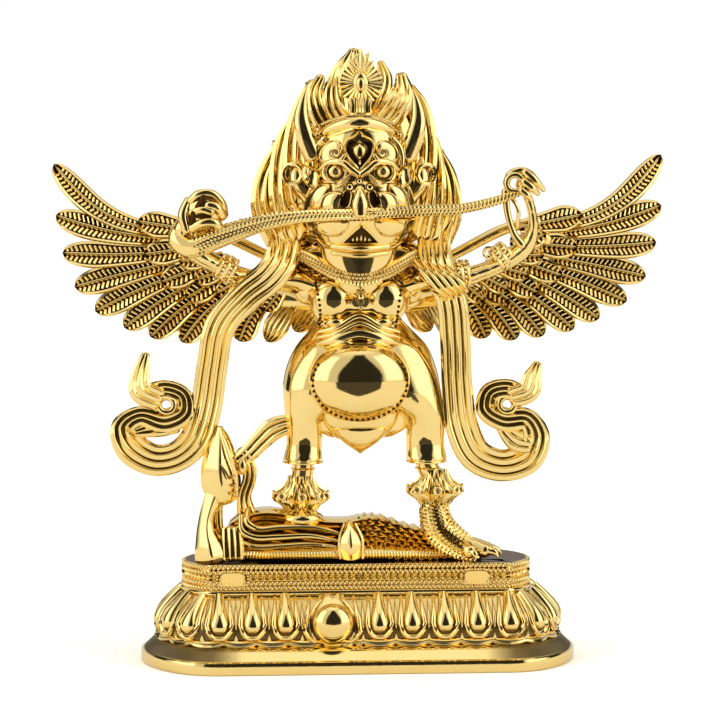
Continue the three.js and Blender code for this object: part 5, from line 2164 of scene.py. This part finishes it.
# Scarves. Rows are [x, y, z, half width]; where a fifth number follows, it is the half depth
SCARF_LEFT = [
    [-25.6, -1, 112, 5.4],
    [-24.4, -5, 101, 5.4],
    [-28.4, -8, 93, 5.4],
    [-37.4, -9.4, 85.6, 5.2],
    [-45.2, -8, 76, 5],
    [-47.8, -6, 63, 5],
    [-50.0, -5, 49, 5.2],
    [-53.4, -5, 38.9, 5.2],
    [-59.4, -5, 33.6, 5.0],
    [-67.0, -5, 32.6, 5.2],
    [-74.2, -5, 36.9, 5.3],
    [-76.6, -5, 43.2, 4.0],
    [-71.4, -5, 46.8, 3.3],
    [-63, -5, 45.2, 4.2],
    [-57.2, -5, 48, 3.7],
    [-57.6, -5, 53, 3.3],
    [-62.8, -5, 55.2, 3.3],
    [-69.2, -5, 53.6, 3.4],
]
TIP_LEFT = [
    [-65.6, -6.2, 52.4, 3.8, 2], [-70.8, -6.4, 55.4, 4.0, 2], [-70.8, -6, 61, 2.8, 1.6],
    [-69.3, -5.4, 66.6, 1.4, 1.1],
]
SCARF_RIGHT = [
    [27, -1, 112, 5.4],
    [24.4, -5, 103, 5.4],
    [26, -8, 94, 5.2],
    [29.8, -8.6, 84, 5],
    [31.2, -7.4, 71, 5],
    [31.9, -6, 57, 5],
    [33.8, -5, 42.6, 5.4],
    [38.6, -5, 33.2, 5.5],
    [47.4, -5, 30.0, 5.3],
    [55.4, -5, 32.8, 5.3],
    [58.2, -5, 39.4, 4.5],
    [55, -5, 45.0, 3.8],
    [47.4, -5, 45.2, 4.0],
    [42, -5, 48.6, 3.7],
    [43, -5, 53.6, 3.5],
    [48.6, -5, 55, 3.4],
    [53.8, -5, 52.4, 3.4],
]
TIP_RIGHT = [
    [50.4, -6.2, 52.6, 3.4, 1.8], [55.4, -6.4, 54.6, 3.8, 1.8], [56.8, -6, 59, 3.1, 1.6],
    [58.4, -5.4, 63.2, 1.5, 1.1],
]
FILL_LEFT = [
    [-72.4, -5.4, 41.4, 1.4, 1.4], [-69, -5.4, 42.2, 2.2, 1.8], [-64, -5.4, 42.6, 2.4, 1.8],
    [-59.4, -5.4, 42.4, 1.2, 1.2],
]
FILL_RIGHT = [
    [55.6, -5.4, 37, 3, 1.8], [52, -5.4, 38, 3.6, 2], [48.6, -5.4, 40.6, 2.8, 1.8],
    [45.6, -5.4, 43.2, 1.2, 1.2],
]


def wrap(casting):
    """The turn of the scarf round the right arm, in slanting folds."""
    for k in range(5):
        rows = [
            [17.6 + 2.6 * k, -8.4, 97.4 - 0.5 * k, 0.8, 0.9],
            [20.2 + 2.6 * k, -11.4, 93.2 - 0.3 * k, 1.4, 1.5],
            [24.6 + 2.2 * k, -11.8, 88 + 0.3 * k, 1.4, 1.5],
            [28.4 + 1.6 * k, -9.6, 84.4 + 0.8 * k, 0.8, 0.9],
        ]
        casting.add(sweep(rows, keeled(), 6))


def ribbons():
    """Both scarves with their curled ends and blunt tips."""
    casting = Casting(SEAT)
    wrap(casting)
    for rows in (SCARF_LEFT, SCARF_RIGHT):
        casting.add(sweep([[*row, RIBBON_HALF] for row in rows], ribbed(4, 0.5, 0.12), 7, hint=RIBBON_BACK))
    for rows in (TIP_LEFT, TIP_RIGHT, FILL_LEFT, FILL_RIGHT):
        casting.add(sweep(rows, ribbed(3, 0.4), 7, hint=RIBBON_BACK))
    for x, z in ((-62.6, 50.6), (48.4, 50.2)):
        casting.add(hoop([x, -6.2, z], 2.5, 1.1, (0, -1, 0), 10, 28))
    return casting.piece("ribbon_scarves", GILT, "garuda_figure", crease=60)


# Studio


def camera():
    """The view of the photograph: a long lens from the front, a little above and to the left."""
    lens = bpy.data.cameras.new("camera")
    lens.lens = LENS
    lens.sensor_width = 36
    lens.clip_start = 0.01
    lens.clip_end = 50
    obj = placed("camera", lens)
    obj.location = Vector(CAMERA_PLACE) * MM
    obj.rotation_euler = (Vector(CAMERA_AIM) * MM - obj.location).to_track_quat("-Z", "Y").to_euler()
    bpy.context.scene.camera = obj


def light_tent():
    """A pale tent: bright panels left and right above, a dark opening in front, dark edges at the sides."""
    world = bpy.data.worlds.new("tent")
    bpy.context.scene.world = world
    node, link, calc, ramp = workbench(cleared(world))

    def soft(value, low, high, bottom=0.0, top=1.0):
        return ramp(value, low, high, bottom, top, "SMOOTHSTEP")

    def band(value, low, high, edge):
        rise = soft(value, low - edge, low + edge)
        return calc("MULTIPLY", rise, soft(value, high - edge, high + edge, 1.0, 0.0))

    def patch(left, right, low, high, edge):
        return calc("MULTIPLY", band(aside, left, right, edge), band(height, low, high, 4))

    place = node("ShaderNodeTexCoord")
    parts = node("ShaderNodeSeparateXYZ")
    link(place.outputs["Generated"], parts.inputs[0])
    x, y, z = parts.outputs
    azimuth = calc("MULTIPLY", calc("ARCTAN2", x, calc("MULTIPLY", y, -1.0)), 180 / math.pi)
    aside = calc("ABSOLUTE", calc("ADD", azimuth, 4.0))
    height = calc("MULTIPLY", calc("ARCSINE", z), 180 / math.pi)

    # The dark opening narrows upwards
    left_right = calc("ABSOLUTE", calc("SUBTRACT", x, 0.04))
    ahead = soft(y, -0.2, 0.1, 1.0, 0.0)
    half = soft(height, 8.0, 68.0, 0.54, 0.12)
    inside = soft(calc("SUBTRACT", left_right, half), -0.03, 0.03, 1.0, 0.0)
    opening = calc("MULTIPLY", calc("MULTIPLY", inside, ahead), band(height, -70, 66, 4))
    panels = patch(*TENT_PANELS, 4)
    top = soft(height, 55.0, 80.0)
    edges = patch(*TENT_EDGES, 3)
    flags = patch(*TENT_FLAGS, 3)

    # The gold mirrors dimmer panels and the dark parts; the pale walls give its even light
    mirrored = node("ShaderNodeLightPath").outputs["Is Glossy Ray"]
    strength = calc("MULTIPLY_ADD", mirrored, -1.4, 2.4)
    light = calc("MULTIPLY_ADD", panels, strength, calc("MULTIPLY_ADD", mirrored, -0.32, 1.0))
    light = calc("MULTIPLY_ADD", top, 0.4, light)
    dark = calc("MULTIPLY", calc("MAXIMUM", opening, calc("MAXIMUM", edges, flags)), mirrored)
    light = calc("MULTIPLY", light, calc("SUBTRACT", 1.0, calc("MULTIPLY", dark, 0.97)))

    seen = node("ShaderNodeMix")
    seen.data_type = "FLOAT"
    link(node("ShaderNodeLightPath").outputs["Is Camera Ray"], seen.inputs[0])
    link(light, seen.inputs[2])
    seen.inputs[3].default_value = 1.05
    back = node("ShaderNodeBackground")
    back.inputs["Color"].default_value = TENT_WHITE
    link(seen.outputs[0], back.inputs["Strength"])
    link(back.outputs[0], node("ShaderNodeOutputWorld").inputs["Surface"])


def table_polish():
    """Pale and matt. The gold's reflections see painted shade on it, a share of the dark room everywhere;
    past the front edge, just outside the picture, the gold mirrors the dark room.
    """
    material = bpy.data.materials.new("pale_table")
    node, link, calc, ramp = workbench(cleared(material))
    place = node("ShaderNodeTexCoord")
    parts = node("ShaderNodeSeparateXYZ")
    link(place.outputs["Object"], parts.inputs[0])
    aside = calc("ABSOLUTE", parts.outputs["X"])
    ahead = calc("MULTIPLY", parts.outputs["Y"], -1.0)
    start = calc("ADD", calc("MULTIPLY", aside, 0.8), TABLE_EDGE)
    past = ramp(calc("SUBTRACT", ahead, start), 0.0, 0.012)
    wedge = ramp(calc("SUBTRACT", aside, calc("MULTIPLY", ahead, 0.66)), -0.02, 0.0, 1.0, 0.0)
    gloss = calc("MULTIPLY", node("ShaderNodeLightPath").outputs["Is Glossy Ray"], 0.97)
    pale = node("ShaderNodeBsdfDiffuse")
    pale.inputs["Color"].default_value = TABLE_PALE
    dark = node("ShaderNodeEmission")
    dark.inputs["Color"].default_value = DARK_ROOM
    mix = node("ShaderNodeMixShader")
    # Painted shade that only reflections see: at least 0.3 of the dark room everywhere, all of it past the
    # front edge
    link(calc("MULTIPLY", calc("MAXIMUM", calc("MULTIPLY", past, wedge), 0.3), gloss), mix.inputs[0])
    link(pale.outputs[0], mix.inputs[1])
    link(dark.outputs[0], mix.inputs[2])
    link(mix.outputs[0], node("ShaderNodeOutputMaterial").inputs["Surface"])
    return material


def table_top():
    """The pale table under the plinth."""
    mesh = bpy.data.meshes.new("table_top")
    corners = [(x * TABLE_HALF, y * TABLE_HALF, 0) for x, y in ((-1, -1), (1, -1), (1, 1), (-1, 1))]
    mesh.from_pydata(corners, [], [(0, 1, 2, 3)])
    mesh.materials.append(table_polish())
    placed("table_top", mesh)


camera()
light_tent()
table_top()
bpy.context.scene.view_settings.view_transform = "Standard"

plinth()
body()
head()
spirit()
wings()
ribbons()
